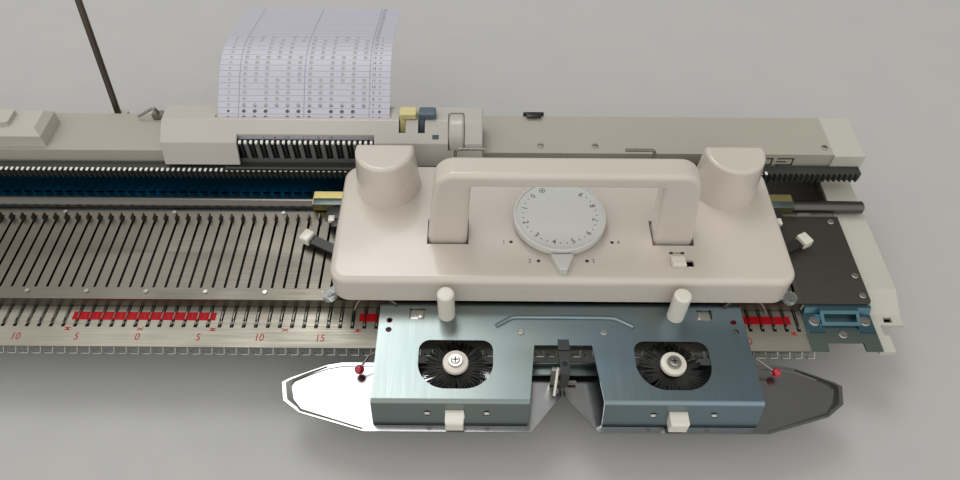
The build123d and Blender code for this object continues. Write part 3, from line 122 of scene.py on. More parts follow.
def fill(tree, node, inputs):
    """Sets a node's inputs, and links each one that is given as a socket."""
    for key, value in inputs.items():
        if isinstance(value, bpy.types.NodeSocket):
            tree.links.new(value, node.inputs[key])
        else:
            node.inputs[key].default_value = value


def add(tree, kind, inputs=None, **settings):
    """Adds a node, sets its properties and fills its inputs."""
    new = tree.nodes.new("ShaderNode" + kind)
    for name, value in settings.items():
        setattr(new, name, value)
    fill(tree, new, inputs or {})
    return new


def noise(tree, vector, size, detail):
    """Noise whose clouds have a size in the units of its coordinates."""
    return add(tree, "TexNoise", {"Vector": vector, "Scale": 1 / size,
                                  "Detail": detail}).outputs["Fac"]


def begin(name, values):
    """New material with its shader, and Object coordinates in millimetres."""
    material = bpy.data.materials.new(name)
    material.use_nodes = True
    tree = material.node_tree
    shader = tree.nodes["Principled BSDF"]
    fill(tree, shader, values)
    place = add(tree, "TexCoord").outputs["Object"]
    per_mm = (1 / MM, 1 / MM, 1 / MM)
    place_mm = add(tree, "Mapping", {"Vector": place, "Scale": per_mm}).outputs["Vector"]
    return material, tree, shader, place_mm


print("helpers ready")

# %% [markdown]
# Most of the machine is injection moulded. Real mouldings are never one flat colour: the pigment
# clouds a little over some centimetres, the gloss varies with the mould's polish, and a fine texture
# breaks up reflections. The function below gives all three, each with its own size in millimetres.
# Blender's noise rarely leaves the middle of its range, so that middle is stretched over the gloss.

# %% Moulded plastics
CLOUD_MM = 60.0
COAT_ROUGHNESS = 0.08
NOISE = {"From Min": 0.3, "From Max": 0.7}


def moulded(name, colour, shade, rough, grain_mm, depth_mm, coat=0.0):
    """Moulded plastic: clouded pigment, uneven gloss and the mould's grain."""
    coating = {"Coat Weight": coat, "Coat Roughness": COAT_ROUGHNESS}
    material, tree, shader, mm = begin(name, {"Metallic": 0.0, **coating})
    cloud = noise(tree, mm, CLOUD_MM, 4.0)
    tone = add(tree, "Mix", {0: cloud, 6: linear(colour), 7: linear(shade)},
               data_type="RGBA").outputs[2]
    gloss = add(tree, "MapRange", {"Value": cloud, **NOISE, "To Min": rough * 0.85,
                                   "To Max": rough * 1.2}).outputs["Result"]
    grain = noise(tree, mm, grain_mm, 2.0)
    bump = add(tree, "Bump", {"Height": grain, "Strength": 0.5, "Distance": depth_mm * MM})
    fill(tree, shader, {"Base Color": tone, "Roughness": gloss, "Normal": bump.outputs["Normal"]})
    return material


finishes = {
    # high-gloss ABS of the carriage: warm cream with a soft lacquer-like sheen
    "cover_cream": moulded("glossy_ABS_cream", "#C9C1B8", "#C1B8AE", 0.24, 1.6, 0.004, coat=0.35),
    # satin ABS of the tray and end caps, sand-blasted mould; its ivory is darker than the plastic's own
    # tone, partly painted shade of the shaded end caps
    "case": moulded("satin_ABS_ivory", "#BBB9B0", "#B3B0A6", 0.42, 0.7, 0.010),
    # the rear strip is a greyer, more textured moulding
    "rear_strip": moulded("textured_ABS_stone", "#A9A599", "#A09B90", 0.45, 0.6, 0.014),
    "unit_cream": moulded("glossy_ABS_stone_cream", "#B4B1AB", "#ACA8A1", 0.28, 1.4, 0.004,
                          coat=0.25),
    "counter_cream": moulded("satin_ABS_grey_cream", "#B8B5AB", "#AFABA1", 0.38, 0.8, 0.008),
    "dial_cream": moulded("satin_ABS_dial_white", "#C3C4C1", "#BABBB7", 0.30, 1.0, 0.003, coat=0.1),
    "knob_white": moulded("polished_acetal_white", "#DAD6CC", "#D0CBC0", 0.30, 1.2, 0.003, coat=0.1),
    "drum_white": moulded("acetal_natural", "#DCDCD4", "#D0D0C8", 0.35, 0.9, 0.004),
    # straw yellow and slate blue mark the two card levers apart
    "lever_yellow": moulded("ABS_straw", "#CFC58F", "#C4B982", 0.33, 0.9, 0.004),
    "lever_blue": moulded("ABS_slate_blue", "#50626F", "#485966", 0.33, 0.9, 0.004),
    "rack_plastic": moulded("glass_filled_nylon_black", "#2C2E2B", "#363833", 0.48, 0.5, 0.010),
    "feeler_grey": moulded("acetal_grey", "#676B69", "#585B5A", 0.40, 0.6, 0.006),
    "feeler_dark": moulded("acetal_charcoal", "#2B2F2F", "#222626", 0.42, 0.6, 0.006),
    "lever_black": moulded("phenolic_black", "#151515", "#1E1D1C", 0.38, 0.7, 0.006),
    "rubber": moulded("rubber_black", "#141414", "#1D1C1B", 0.75, 0.4, 0.020),
}
print("plastics:", len(finishes))

# %% [markdown]
# The sheet metal was brushed or rolled, and that leaves fine parallel lines. They are drawn as noise
# that is stretched along the bed. Real scratches are hundredths of a millimetre wide; here they are
# about half a millimetre, as coarse as the picture needs to show them. Streaks and wide patches are
# added up, and their sum drives both the tone and the gloss.

# %% Brushed and plated sheet
SCRATCH_LONG_MM = 45.0
SUM_OF_NOISES = {"From Min": 0.7, "From Max": 1.3}


def brushed(name, colour, shade, rough, scratch_mm, depth_mm, anisotropic=0.4):
    """Brushed metal: streaks of colour and gloss along the bed."""
    material, tree, shader, mm = begin(name, {"Metallic": 1.0, "Anisotropic": anisotropic})
    squeeze = (1 / SCRATCH_LONG_MM, 1 / scratch_mm, 1 / scratch_mm)
    lines = add(tree, "Mapping", {"Vector": mm, "Scale": squeeze}).outputs["Vector"]
    streak = noise(tree, lines, 1.0, 3.0)
    patch = noise(tree, mm, CLOUD_MM, 2.0)
    both = add(tree, "Math", {0: streak, 1: patch}, operation="ADD").outputs[0]
    tone = add(tree, "MapRange", {"Value": both, **SUM_OF_NOISES}).outputs["Result"]
    colours = add(tree, "Mix", {0: tone, 6: linear(colour), 7: linear(shade)},
                  data_type="RGBA").outputs[2]
    gloss = add(tree, "MapRange", {"Value": both, **SUM_OF_NOISES, "To Min": rough * 0.8,
                                   "To Max": rough * 1.25}).outputs["Result"]
    bump = add(tree, "Bump", {"Height": streak, "Strength": 0.6, "Distance": depth_mm * MM})
    fill(tree, shader, {"Base Color": colours, "Roughness": gloss, "Normal": bump.outputs["Normal"]})
    return material


finishes.update({
    # stainless sheet, brushed lengthways, with a dull grey look
    "bed_steel": brushed("brushed_steel_bed", "#7B766D", "#68645C", 0.36, 0.5, 0.004),
    # tin-plated strip with a soft, greenish, almost matt face
    "number_steel": brushed("satin_nickel_plate", "#A8A498", "#9D998E", 0.50, 0.6, 0.003,
                            anisotropic=0.2),
    "zinc": brushed("zinc_plate_grey", "#7A8682", "#66726F", 0.40, 0.7, 0.004),
    # thick passivated zinc, nearly petrol blue in the shade of the channel
    "teal_zinc": brushed("zinc_plate_petrol", "#2F7C96", "#1C5A72", 0.38, 0.8, 0.004),
    "blue_zinc": brushed("zinc_plate_blue", "#6C8E99", "#527784", 0.30, 0.8, 0.003,
                         anisotropic=0.2),
    "end_plate_grey": brushed("phosphated_steel", "#615F58", "#54534C", 0.50, 0.6, 0.004),
    "mast_steel": brushed("drawn_steel_rod", "#6A6159", "#574F48", 0.35, 0.6, 0.003),
})
print("sheet finishes ready")

# %% [markdown]
# Polished parts show their surroundings, so their finish is mostly roughness: low, with a little
# smear. Nickel is warmer than chrome, and brass is coloured all through.

# %% Polished metals
DULLED = 0.88


def polished(name, colour, rough, smear, swirl_mm=12.0):
    """Polished or plated metal with slightly uneven gloss."""
    material, tree, shader, mm = begin(name, {"Metallic": 1.0})
    swirl = noise(tree, mm, swirl_mm, 3.0)
    gloss = add(tree, "MapRange", {"Value": swirl, **NOISE, "To Min": rough,
                                   "To Max": rough + smear}).outputs["Result"]
    dull = [c * DULLED for c in linear(colour)[:3]] + [1.0]
    tone = add(tree, "Mix", {0: swirl, 6: linear(colour), 7: dull}, data_type="RGBA").outputs[2]
    fill(tree, shader, {"Base Color": tone, "Roughness": gloss})
    return material


finishes.update({
    "rail_steel": polished("ground_steel_bar", "#63625E", 0.26, 0.04, swirl_mm=60.0),
    "needle_steel": polished("nickel_needle", "#75746D", 0.26, 0.08, swirl_mm=6.0),
    "post_steel": polished("nickel_comb", "#9C9C96", 0.25, 0.08, swirl_mm=6.0),
    "screw_steel": polished("nickel_screw", "#B4B2AC", 0.22, 0.10, swirl_mm=3.0),
    "bright_wire": polished("nickel_wire", "#8F8C86", 0.22, 0.08, swirl_mm=4.0),
    "chrome": polished("satin_chrome", "#A2A2A3", 0.17, 0.07, swirl_mm=25.0),
    "brass": polished("machined_brass", "#BBAE74", 0.28, 0.10, swirl_mm=8.0),
})
print("finishes so far:", len(finishes))

# %% [markdown]
# The sinker plate is zinc-plated and chromated. Its film is so thin that it colours the light: pale
# sea green in one place and steel blue in another, in wide soft bands, with very fine rolling lines.

# %% Iridescent zinc of the sinker plate
FILM_HALF = 150
BLOT_MM = 70
ROLL_WIDE_MM, ROLL_LONG_MM = 0.7, 60


def zinc_film(name):
    """Chromated zinc sheet whose tint drifts from green-grey to blue along the sheet."""
    material, tree, shader, mm = begin(name, {"Metallic": 1.0, "Anisotropic": 0.2})
    axes = add(tree, "SeparateXYZ", {"Vector": mm})
    sweep = add(tree, "MapRange", {"Value": axes.outputs["X"], "From Min": at(-FILM_HALF),
                                   "From Max": at(FILM_HALF)})
    blot = noise(tree, mm, BLOT_MM, 2.0)
    swing = add(tree, "Math", {0: blot, 1: 0.5}, operation="SUBTRACT").outputs[0]
    wide = add(tree, "Math", {0: swing, 1: 1.6}, operation="MULTIPLY").outputs[0]
    drift = add(tree, "Math", {0: sweep.outputs["Result"], 1: wide}, operation="ADD",
                use_clamp=True)
    tint = add(tree, "ValToRGB", {"Fac": drift.outputs[0]})
    ramp = tint.color_ramp.elements
    ramp[0].color = linear("#858E8C")
    ramp[1].color = linear("#7E919B")
    ramp[1].position = 0.85
    ramp.new(0.45).color = linear("#7F8B8A")
    squeeze = (1 / ROLL_WIDE_MM, 1 / ROLL_LONG_MM, 1 / ROLL_WIDE_MM)
    lines = add(tree, "Mapping", {"Vector": mm, "Scale": squeeze}).outputs["Vector"]
    rolled = noise(tree, lines, 1.0, 2.0)
    gloss = add(tree, "MapRange", {"Value": rolled, **NOISE, "To Min": 0.29,
                                   "To Max": 0.34}).outputs["Result"]
    bump = add(tree, "Bump", {"Height": rolled, "Strength": 0.3, "Distance": 0.002 * MM})
    fill(tree, shader, {"Base Color": tint.outputs["Color"], "Roughness": gloss,
                        "Normal": bump.outputs["Normal"]})
    return material


finishes["galvanised"] = zinc_film("chromated_zinc_sheet")

# %% [markdown]
# A few finishes are used for one thing each: printing ink, the dark nylon of the bristles, the red
# glass-like balls, and the cloudy plastic of the glides that lets light through. Red ink is matt from
# every side, so it mirrors less than plastics do.

# %% Ink, bristle and clear plastic


def set_shader(slot, socket, value):
    """Sets a plain value on the shader of a finish."""
    finishes[slot].node_tree.nodes["Principled BSDF"].inputs[socket].default_value = value


finishes["red_ink"] = moulded("screen_ink_red", "#AE0C18", "#990A15", 0.45, 0.3, 0.002)
set_shader("red_ink", "Specular IOR Level", 0.15)
finishes["black_ink"] = moulded("screen_ink_black", "#23201E", "#2E2A27", 0.45, 0.3, 0.002)
finishes["green_ink"] = moulded("tinted_window_green", "#0E4A4A", "#0B3B3F", 0.2, 0.8, 0.002,
                                coat=0.4)
# white lacquer of the feeler tips, also the painted highlight on the rack's tooth tops
finishes["white_paint"] = moulded("white_lacquer_and_painted_highlight", "#EDEDE8", "#DEDED8", 0.35, 0.6, 0.002)
finishes["bristle"] = moulded("nylon_bristle_black", "#0F0F0F", "#1C1B1A", 0.35, 0.4, 0.004)
finishes["red_ball"] = moulded("acrylic_red", "#B3142E", "#9D1027", 0.18, 1.0, 0.002, coat=0.6)
finishes["clear_glide"] = moulded("cloudy_polyamide", "#C9CFCC", "#B9C0BD", 0.28, 0.9, 0.003,
                                  coat=0.2)
set_shader("clear_glide", "Transmission Weight", 0.8)
print("single finishes ready")

# %% [markdown]
# The punched card is coated paper board: white with a cool, faintly violet tone, printed with a thin
# line under each row, one down the middle and one along each margin. The print follows the bent sheet,
# so the material reads the card's own UV map, where one unit of V is one row and one unit of U is one
# stitch. The lines' widths are shares of those.

# %% Card board
CARD_ROWS = 33
CARD_COLUMNS = 12
ROW_LINE = 0.10
LENGTH_LINE = 0.05
INK_SHARE = 0.42
FIBRE_MM = 0.8
CARD_ROUGHNESS = 0.42


def card_board(name):
    """Coated card with printed row lines, read from the UV map."""
    material, tree, shader, mm = begin(name, {"Metallic": 0.0, "Roughness": CARD_ROUGHNESS})
    axes = add(tree, "SeparateXYZ", {"Vector": add(tree, "UVMap", uv_map="rows").outputs["UV"]})
    row = add(tree, "Math", {0: axes.outputs["Y"]}, operation="FRACT").outputs[0]
    line = add(tree, "Math", {0: row, 1: ROW_LINE}, operation="LESS_THAN").outputs[0]
    off_middle = add(tree, "Math", {0: axes.outputs["X"], 1: CARD_COLUMNS / 2},
                     operation="SUBTRACT").outputs[0]
    distance = add(tree, "Math", {0: off_middle}, operation="ABSOLUTE").outputs[0]
    middle = add(tree, "Math", {0: distance, 1: LENGTH_LINE}, operation="LESS_THAN").outputs[0]
    past_margin = add(tree, "Math", {0: distance, 1: CARD_COLUMNS / 2},
                      operation="SUBTRACT").outputs[0]
    off_margin = add(tree, "Math", {0: past_margin}, operation="ABSOLUTE").outputs[0]
    border = add(tree, "Math", {0: off_margin, 1: LENGTH_LINE}, operation="LESS_THAN").outputs[0]
    inked = add(tree, "Math", {0: line, 1: middle}, operation="MAXIMUM").outputs[0]
    inked = add(tree, "Math", {0: inked, 1: border}, operation="MAXIMUM").outputs[0]
    faint = add(tree, "Math", {0: inked, 1: INK_SHARE}, operation="MULTIPLY").outputs[0]
    fibre = noise(tree, mm, FIBRE_MM, 3.0)
    board = add(tree, "Mix", {0: fibre, 6: linear("#BDBDC8"), 7: linear("#B2B2BF")},
                data_type="RGBA")
    ink = add(tree, "Mix", {0: faint, 6: board.outputs[2], 7: linear("#3E3E55")}, data_type="RGBA")
    bump = add(tree, "Bump", {"Height": fibre, "Strength": 0.3, "Distance": 0.01 * MM})
    fill(tree, shader, {"Base Color": ink.outputs[2], "Normal": bump.outputs["Normal"]})
    return material


finishes["card"] = card_board("coated_punch_card")
print("all finishes:", len(finishes))

# %% [markdown]
# Each solid of the frame names a material slot in the record. The solids keep their shape and only
# get their finish, so one loop dresses them all.

# %% Dress the solids
for part in frame["record"]["subparts"]:
    solid = frame["nodes"][part["node"]]
    for held in solid.material_slots:
        held.material = finishes[part["material_slot"]]

# %% [markdown]
# New pieces are built in millimetres in a bmesh, and one function finishes them: it scales them to
# metres over the table, turns their faces outwards, marks the sharp edges, names the piece and lets it
# ride on its body.

# %% Mesh helpers
SHARP = radians(35)


def place_piece(made, body):
    """Links a new object into the scene and onto its body."""
    bpy.context.scene.collection.objects.link(made)
    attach(made, body)


def finish_piece(name, bm, slot, body, outward=True, smooth=True):
    """Turns a bmesh in millimetres into a finished piece that rides on a body."""
    bmesh.ops.translate(bm, verts=bm.verts, vec=(0, 0, BED_TOP))
    bmesh.ops.scale(bm, verts=bm.verts, vec=(MM, MM, MM))
    if outward:
        bmesh.ops.recalc_face_normals(bm, faces=bm.faces)
    for edge in bm.edges:
        edge.smooth = len(edge.link_faces) == 2 and edge.calc_face_angle() < SHARP
    for face in bm.faces:
        face.smooth = smooth
    mesh = bpy.data.meshes.new(name)
    bm.to_mesh(mesh)
    bm.free()
    mesh.materials.append(finishes[slot])
    made = bpy.data.objects.new(name, mesh)
    place_piece(made, body)
    print(name, len(mesh.polygons), "faces")
    return made


def edges_of(verts):
    """Edges that meet some vertices, in the same order on every run."""
    return list(dict.fromkeys(edge for vert in verts for edge in vert.link_edges))


def bevel_edges(bm, edges, size, segments=2):
    """Rounds edges evenly."""
    bmesh.ops.bevel(bm, geom=edges, offset=size, segments=segments, affect="EDGES", profile=0.5,
                    material=-1)


def put_block(bm, x, y, z, bevel=0.0, turned=0.0, segments=2):
    """Box between (low, high) pairs, with rounded edges if a bevel is given."""
    middle = Matrix.Translation(((x[0] + x[1]) / 2, (y[0] + y[1]) / 2, (z[0] + z[1]) / 2))
    size = Matrix.Diagonal((abs(x[1] - x[0]), abs(y[1] - y[0]), abs(z[1] - z[0]), 1))
    place = middle @ Matrix.Rotation(turned, 4, "Z") @ size
    verts = bmesh.ops.create_cube(bm, size=1.0, matrix=place)["verts"]
    if bevel:
        bevel_edges(bm, edges_of(verts), bevel, segments)


def put_rod(bm, start, end, radius, tip_radius=None, segments=12):
    """Round or tapered bar from one point to another."""
    run = Vector(end) - Vector(start)
    lean = run.to_track_quat("Z", "Y").to_matrix().to_4x4()
    place = Matrix.Translation((Vector(start) + Vector(end)) / 2) @ lean
    bmesh.ops.create_cone(bm, cap_ends=True, segments=segments, radius1=radius,
                          radius2=radius if tip_radius is None else tip_radius,
                          depth=run.length, matrix=place)


def put_text(bm, text, size, place):
    """Flat letters, laid by a matrix in millimetres."""
    letters = bpy.data.curves.new("letters", "FONT")
    letters.body = text
    letters.size = size
    letters.align_x = "CENTER"
    letters.align_y = "CENTER"
    letters.resolution_u = 3
    holder = bpy.data.objects.new("letters", letters)
    bpy.context.scene.collection.objects.link(holder)
    flat = bpy.data.meshes.new_from_object(holder)
    bpy.data.objects.remove(holder)
    bpy.data.curves.remove(letters)
    flat.transform(place)
    bm.from_mesh(flat)
    bpy.data.meshes.remove(flat)


def put_dot(bm, x, y, z, radius):
    """Flat round mark."""
    bmesh.ops.create_circle(bm, cap_ends=True, segments=14, radius=radius,
                            matrix=Matrix.Translation((x, y, z)))


def put_cross(bm, x, y, z, half, half_line):
    """Cross slot of a screw head, as two thin bars between heights (low, high)."""
    put_block(bm, (x - half, x + half), (y - half_line, y + half_line), z)
    put_block(bm, (x - half_line, x + half_line), (y - half, y + half), z)


def put_wire(name, points, radius, slot, body):
    """Round wire through points in millimetres, bent smoothly at its corners."""
    line = bpy.data.curves.new(name, "CURVE")
    line.dimensions = "3D"
    line.bevel_depth = radius * MM
    line.bevel_resolution = 3
    line.use_fill_caps = True
    run = line.splines.new("NURBS")
    run.points.add(len(points) - 1)
    for held, point in zip(run.points, points):
        held.co = (*spot(*point), 1.0)
    run.order_u = 3
    run.use_endpoint_u = True
    line.materials.append(finishes[slot])
    place_piece(bpy.data.objects.new(name, line), body)


print("mesh helpers ready")

# %% [markdown]
# A latch needle is a flat steel blade. A butt stands up behind it, through the slot, and its front
# end thins to a neck, carries the swinging latch and ends in a hook. The hook is one small square spun
# round the hook's centre. One needle of 68 faces is copied to all 110 slots.

# %% Needles
BLADE_TOP = -9.8
BLADE_FLOOR = -12.0
BLADE_FRONT, BLADE_REAR = -76.0, 44.0
HALF_BLADE = 0.7
NECK_FRONT, NECK_TOP, HALF_NECK = -84.8, -11.0, 0.5
BUTT_FRONT, BUTT_REAR, BUTT_TOP = 5.4, 11.0, 6.0
LATCH_FRONT, LATCH_REAR, HALF_LATCH = -81.5, -75.0, 0.4
LATCH_LAYER = (-9.9, -9.2)
HOOK_CENTRE = (-84.6, -10.2)
HOOK_RADIUS = 1.75
HOOK_WIRE = 0.65
HOOK_TURN = radians(-230)

one = bmesh.new()
put_block(one, (-HALF_BLADE, HALF_BLADE), (BLADE_FRONT, BLADE_REAR), (BLADE_FLOOR, BLADE_TOP))
put_block(one, (-HALF_NECK, HALF_NECK), (NECK_FRONT, BLADE_FRONT), (BLADE_FLOOR, NECK_TOP))
put_block(one, (-HALF_BLADE, HALF_BLADE), (BUTT_FRONT, BUTT_REAR), (BLADE_TOP, BUTT_TOP),
          bevel=0.35, segments=1)
put_block(one, (-HALF_LATCH, HALF_LATCH), (LATCH_FRONT, LATCH_REAR), LATCH_LAYER)
wire_start = Matrix.Translation((0, HOOK_CENTRE[0], HOOK_CENTRE[1] - HOOK_RADIUS))
upright = Matrix.Rotation(radians(90), 4, "X") @ Matrix.Rotation(radians(45), 4, "Z")
ring = bmesh.ops.create_circle(one, segments=4, radius=HOOK_WIRE, matrix=wire_start @ upright)
loop = ring["verts"] + edges_of(ring["verts"])
bmesh.ops.spin(one, geom=loop, cent=(0, *HOOK_CENTRE), axis=(1, 0, 0), angle=HOOK_TURN, steps=6)
source = one.verts[:] + one.edges[:] + one.faces[:]
for k in range(1, NEEDLES):
    copy = bmesh.ops.duplicate(one, geom=source)["geom"]
    fresh = [item for item in copy if isinstance(item, bmesh.types.BMVert)]
    bmesh.ops.translate(one, verts=fresh, vec=(k * NEEDLE_PITCH, 0, 0))
bmesh.ops.translate(one, verts=one.verts, vec=(NEEDLE_PITCH / 2 - HALF_BED, 0, 0))
latch_needles = finish_piece("latch_needles", one, "needle_steel", "bed", smooth=False)
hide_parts("needles")

# %% [markdown]
# The floor under the slots is painted black as shade, so that each slot reads as a dark line. This
# painted shade is a thin black sheet laid on the channel, a little into the needles' undersides, where
# nobody sees it.

# %% Painted shade under the needles
SHADE_FRONT, SHADE_REAR = -103.0, 18.0
SHADE_THICK = 0.12
# a black sheet of painted shade that darkens the slots
slot_shade = bmesh.new()
put_block(slot_shade, (1 - HALF_BED, HALF_BED - 1), (SHADE_FRONT, SHADE_REAR),
          (BLADE_FLOOR, BLADE_FLOOR + SHADE_THICK))
finish_piece("painted_slot_shade", slot_shade, "lever_black", "bed")

# %% [markdown]
# The number plate is screen printed in red: a number every five needles, bars over alternate dozens
# of needles, and small marks at the bars' ends and middles: a leaning cross, or a dot between two
# lines. The ink film runs on over the needles' narrow grooves, so a bar reads as one, with the needles
# as thin grey lines across it.

# %% Scale print
PLATE_TOP = -10.0
INK = 0.06
INK_LAYER = (PLATE_TOP, PLATE_TOP + INK)
BAR_FRONT, BAR_REAR = -82.3, -75.2
FIELD = 8.9
NUMBER_Y = -97.1
NUMBER_HIGH = 8.6
NUMBER_SHAPE = Matrix.Diagonal((0.85, 1.0, 1.0, 1.0))
BAR_EVERY = 216.0
BAR_HALF = 54.0
MARK_Y = -90.2
MARK_LINE = 0.3
CROSS_HALF, CROSS_LEAN = 2.6, 28
LINE_HALF, LINE_OFF = 2.4, 1.0

ink = bmesh.new()
for needle in range(-NEEDLES // 2, NEEDLES // 2):
    x = (needle + 0.5) * NEEDLE_PITCH
    from_bar = abs(x - BAR_EVERY * round(x / BAR_EVERY))
    if from_bar <= BAR_HALF:
        put_block(ink, (x - FIELD / 2, x + FIELD / 2), (BAR_FRONT, BAR_REAR), INK_LAYER)
for five in range(-10, 11):
    number = Matrix.Translation((five * 5 * NEEDLE_PITCH, NUMBER_Y, PLATE_TOP + INK))
    put_text(ink, str(abs(five) * 5), NUMBER_HIGH, number @ NUMBER_SHAPE)
for step in range(-9, 10):
    x = step * BAR_HALF
    for lean in (-1, 1):
        if step % 2 == 0:
            put_block(ink, (x - CROSS_HALF, x + CROSS_HALF), (MARK_Y - MARK_LINE, MARK_Y + MARK_LINE),
                      INK_LAYER, turned=radians(CROSS_LEAN * lean))
        else:
            y = MARK_Y + LINE_OFF * lean
            put_block(ink, (x - LINE_HALF, x + LINE_HALF), (y - MARK_LINE, y + MARK_LINE), INK_LAYER)
    if step % 2:
        put_dot(ink, x, MARK_Y, PLATE_TOP + INK, 0.9)
finish_piece("scale_print", ink, "red_ink", "bed", outward=False, smooth=False)

# %% [markdown]
# Below the number plate's front edge stands a row of wire hooks that hold the new stitches. Each is a
# thin wire that comes down from the edge and turns left. Three short rods with six sides make a hook:
# few enough faces for a row of over a hundred.

# %% Wire hooks
COMB_WIRE = 0.7
COMB_TURNS = ((2.6, -104.4, -11.4), (2.6, -108.3, -14.6), (-2.8, -108.3, -14.6), (-3.4, -107.4, -12.6))
COMB_PAST_BED = 1.3
comb = bmesh.new()
put_block(comb, (-HALF_BED - COMB_PAST_BED, HALF_BED + COMB_PAST_BED), (-102.0, -98.0), (-19.0, -14.0))
for post in range(NEEDLES + 1):
    x = post * NEEDLE_PITCH - HALF_BED
    turns = [(x + off, y, z) for off, y, z in COMB_TURNS]
    for start, end in zip(turns, turns[1:]):
        put_rod(comb, start, end, COMB_WIRE, segments=6)
comb_hooks = finish_piece("comb_hooks", comb, "post_steel", "bed")
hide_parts("sinker_comb")

# %% [markdown]
# The top face of each tooth of the rack shines white where the light falls on it. That highlight is
# painted as a thin white strip on the tooth's top, which makes the row easy to follow with the eye. The
# last teeth on the right have no painted highlight and show bare black nylon.

# %% Painted highlights on the rack's teeth
TOOTH_PITCH = NEEDLE_PITCH / 2
FIRST_TIP, LAST_TIP = -112, 109
HALF_HIGHLIGHT = 0.95
tip_highlights = bmesh.new()
for k in range(FIRST_TIP, LAST_TIP + 1):
    x = k * TOOTH_PITCH
    # painted highlight on the lit top face of a tooth
    put_block(tip_highlights, (x - HALF_HIGHLIGHT, x + HALF_HIGHLIGHT), (47.0, 50.2), (16.9, 17.6))
finish_piece("rack_tip_highlights", tip_highlights, "white_paint", "bed", smooth=False)

# %% [markdown]
# Behind the window of the card unit stand the feelers. The solids have a wide grey finger for every
# needle. A narrow dark one goes between each two here, and a white tip on every one of them. A black
# screen closes the gap behind them, so that the card can't be seen through the window.

# %% Feelers
WINDOW_LEFT, WINDOW_RIGHT = 52.0, 165.0
WINDOW_MARGIN = 1.5
FEELER_FRONT = 58.2
FEELER_TOP = 39.0
HALF_FEELER_TIP, HALF_NARROW = 1.1, 0.8
fingers = int((WINDOW_RIGHT - WINDOW_LEFT) / NEEDLE_PITCH)
first_finger = (WINDOW_LEFT + WINDOW_RIGHT) / 2 - (fingers - 1) * NEEDLE_PITCH / 2

feeler_tips = bmesh.new()
narrow = bmesh.new()
for k in range(2 * fingers + 1):
    x = first_finger + (k - 1) * TOOTH_PITCH
    if not WINDOW_LEFT + WINDOW_MARGIN < x < WINDOW_RIGHT - WINDOW_MARGIN:
        continue
    put_block(feeler_tips, (x - HALF_FEELER_TIP, x + HALF_FEELER_TIP), (FEELER_FRONT - 0.7, 60.6),
              (FEELER_TOP - 1.2, FEELER_TOP + 1.1), bevel=0.5)
    if k % 2 == 0:
        put_block(narrow, (x - HALF_NARROW, x + HALF_NARROW), (FEELER_FRONT + 0.6, 60.4),
                  (22.5, FEELER_TOP - 1.0), bevel=0.3)
finish_piece("feeler_tips", feeler_tips, "white_paint", "bed")
finish_piece("narrow_feelers", narrow, "feeler_dark", "bed")

screen = bmesh.new()
put_block(screen, (WINDOW_LEFT - 1, WINDOW_RIGHT + 1), (60.8, 61.5), (20.5, FEELER_TOP + 1.0),
          bevel=0.2)
finish_piece("feeler_screen", screen, "lever_black", "bed")

# %% [markdown]
# The punched card comes up from its drum, runs flat against the housing and arches over backwards.
# It is built flat first, cell by cell: a cell is a small grid whose middle is dissolved, inset and
# pulled round into a hole. Then every point is moved onto the card's real curve.

# %% Curve of the card
CARD_LEFT = 35.0
CARD_WIDTH = 142.0
CARD_AXIS = (75.5, 32.0)
CARD_RADIUS = 13.15
CARD_RISE = radians(34)
CARD_FALL = radians(-12)
CARD_STRAIGHT = 43.5
CARD_BEND = 60.0
CARD_TAIL = 64.0
CARD_START = radians(200)
WRAP = CARD_START - (radians(90) + CARD_RISE)
WRAP_LONG = WRAP * CARD_RADIUS
ARCH_LONG = (CARD_RISE - CARD_FALL) * CARD_BEND
CARD_LONG = WRAP_LONG + CARD_STRAIGHT + ARCH_LONG + CARD_TAIL
ROW = CARD_LONG / CARD_ROWS
COLUMN = 9.0
MARGIN = (CARD_WIDTH - CARD_COLUMNS * COLUMN) / 2


def card_point(along, above):
    """Point (y, z) at a distance along the card from its lower end, above its middle layer."""
    radius = CARD_RADIUS + above
    if along < WRAP_LONG:
        angle = CARD_START - along / CARD_RADIUS
        return CARD_AXIS[0] + radius * cos(angle), CARD_AXIS[1] + radius * sin(angle)
    angle = radians(90) + CARD_RISE
    y, z = CARD_AXIS[0] + radius * cos(angle), CARD_AXIS[1] + radius * sin(angle)
    run = min(along - WRAP_LONG, CARD_STRAIGHT)
    y, z = y + run * cos(CARD_RISE), z + run * sin(CARD_RISE)
    left = along - WRAP_LONG - run
    if left <= 0:
        return y, z
    arc = min(left / CARD_BEND, CARD_RISE - CARD_FALL)
    bend = CARD_BEND + above
    y += bend * (sin(CARD_RISE) - sin(CARD_RISE - arc))
    z += bend * (cos(CARD_RISE - arc) - cos(CARD_RISE))
    tail = left - arc * CARD_BEND
    return y + tail * cos(CARD_FALL), z + tail * sin(CARD_FALL)


print("card length", round(CARD_LONG, 1), "mm")

# %% [markdown]
# The holes make a plain check: blocks three rows high, with a full row after each. Only the lower part
# of the card is punched.

# %% Punched card
HOLE = 1.75
FEED_HOLE = 1.3
LAST_PUNCHED = 20
BLOCK_ROWS = 4
CARD_THICK = 0.5


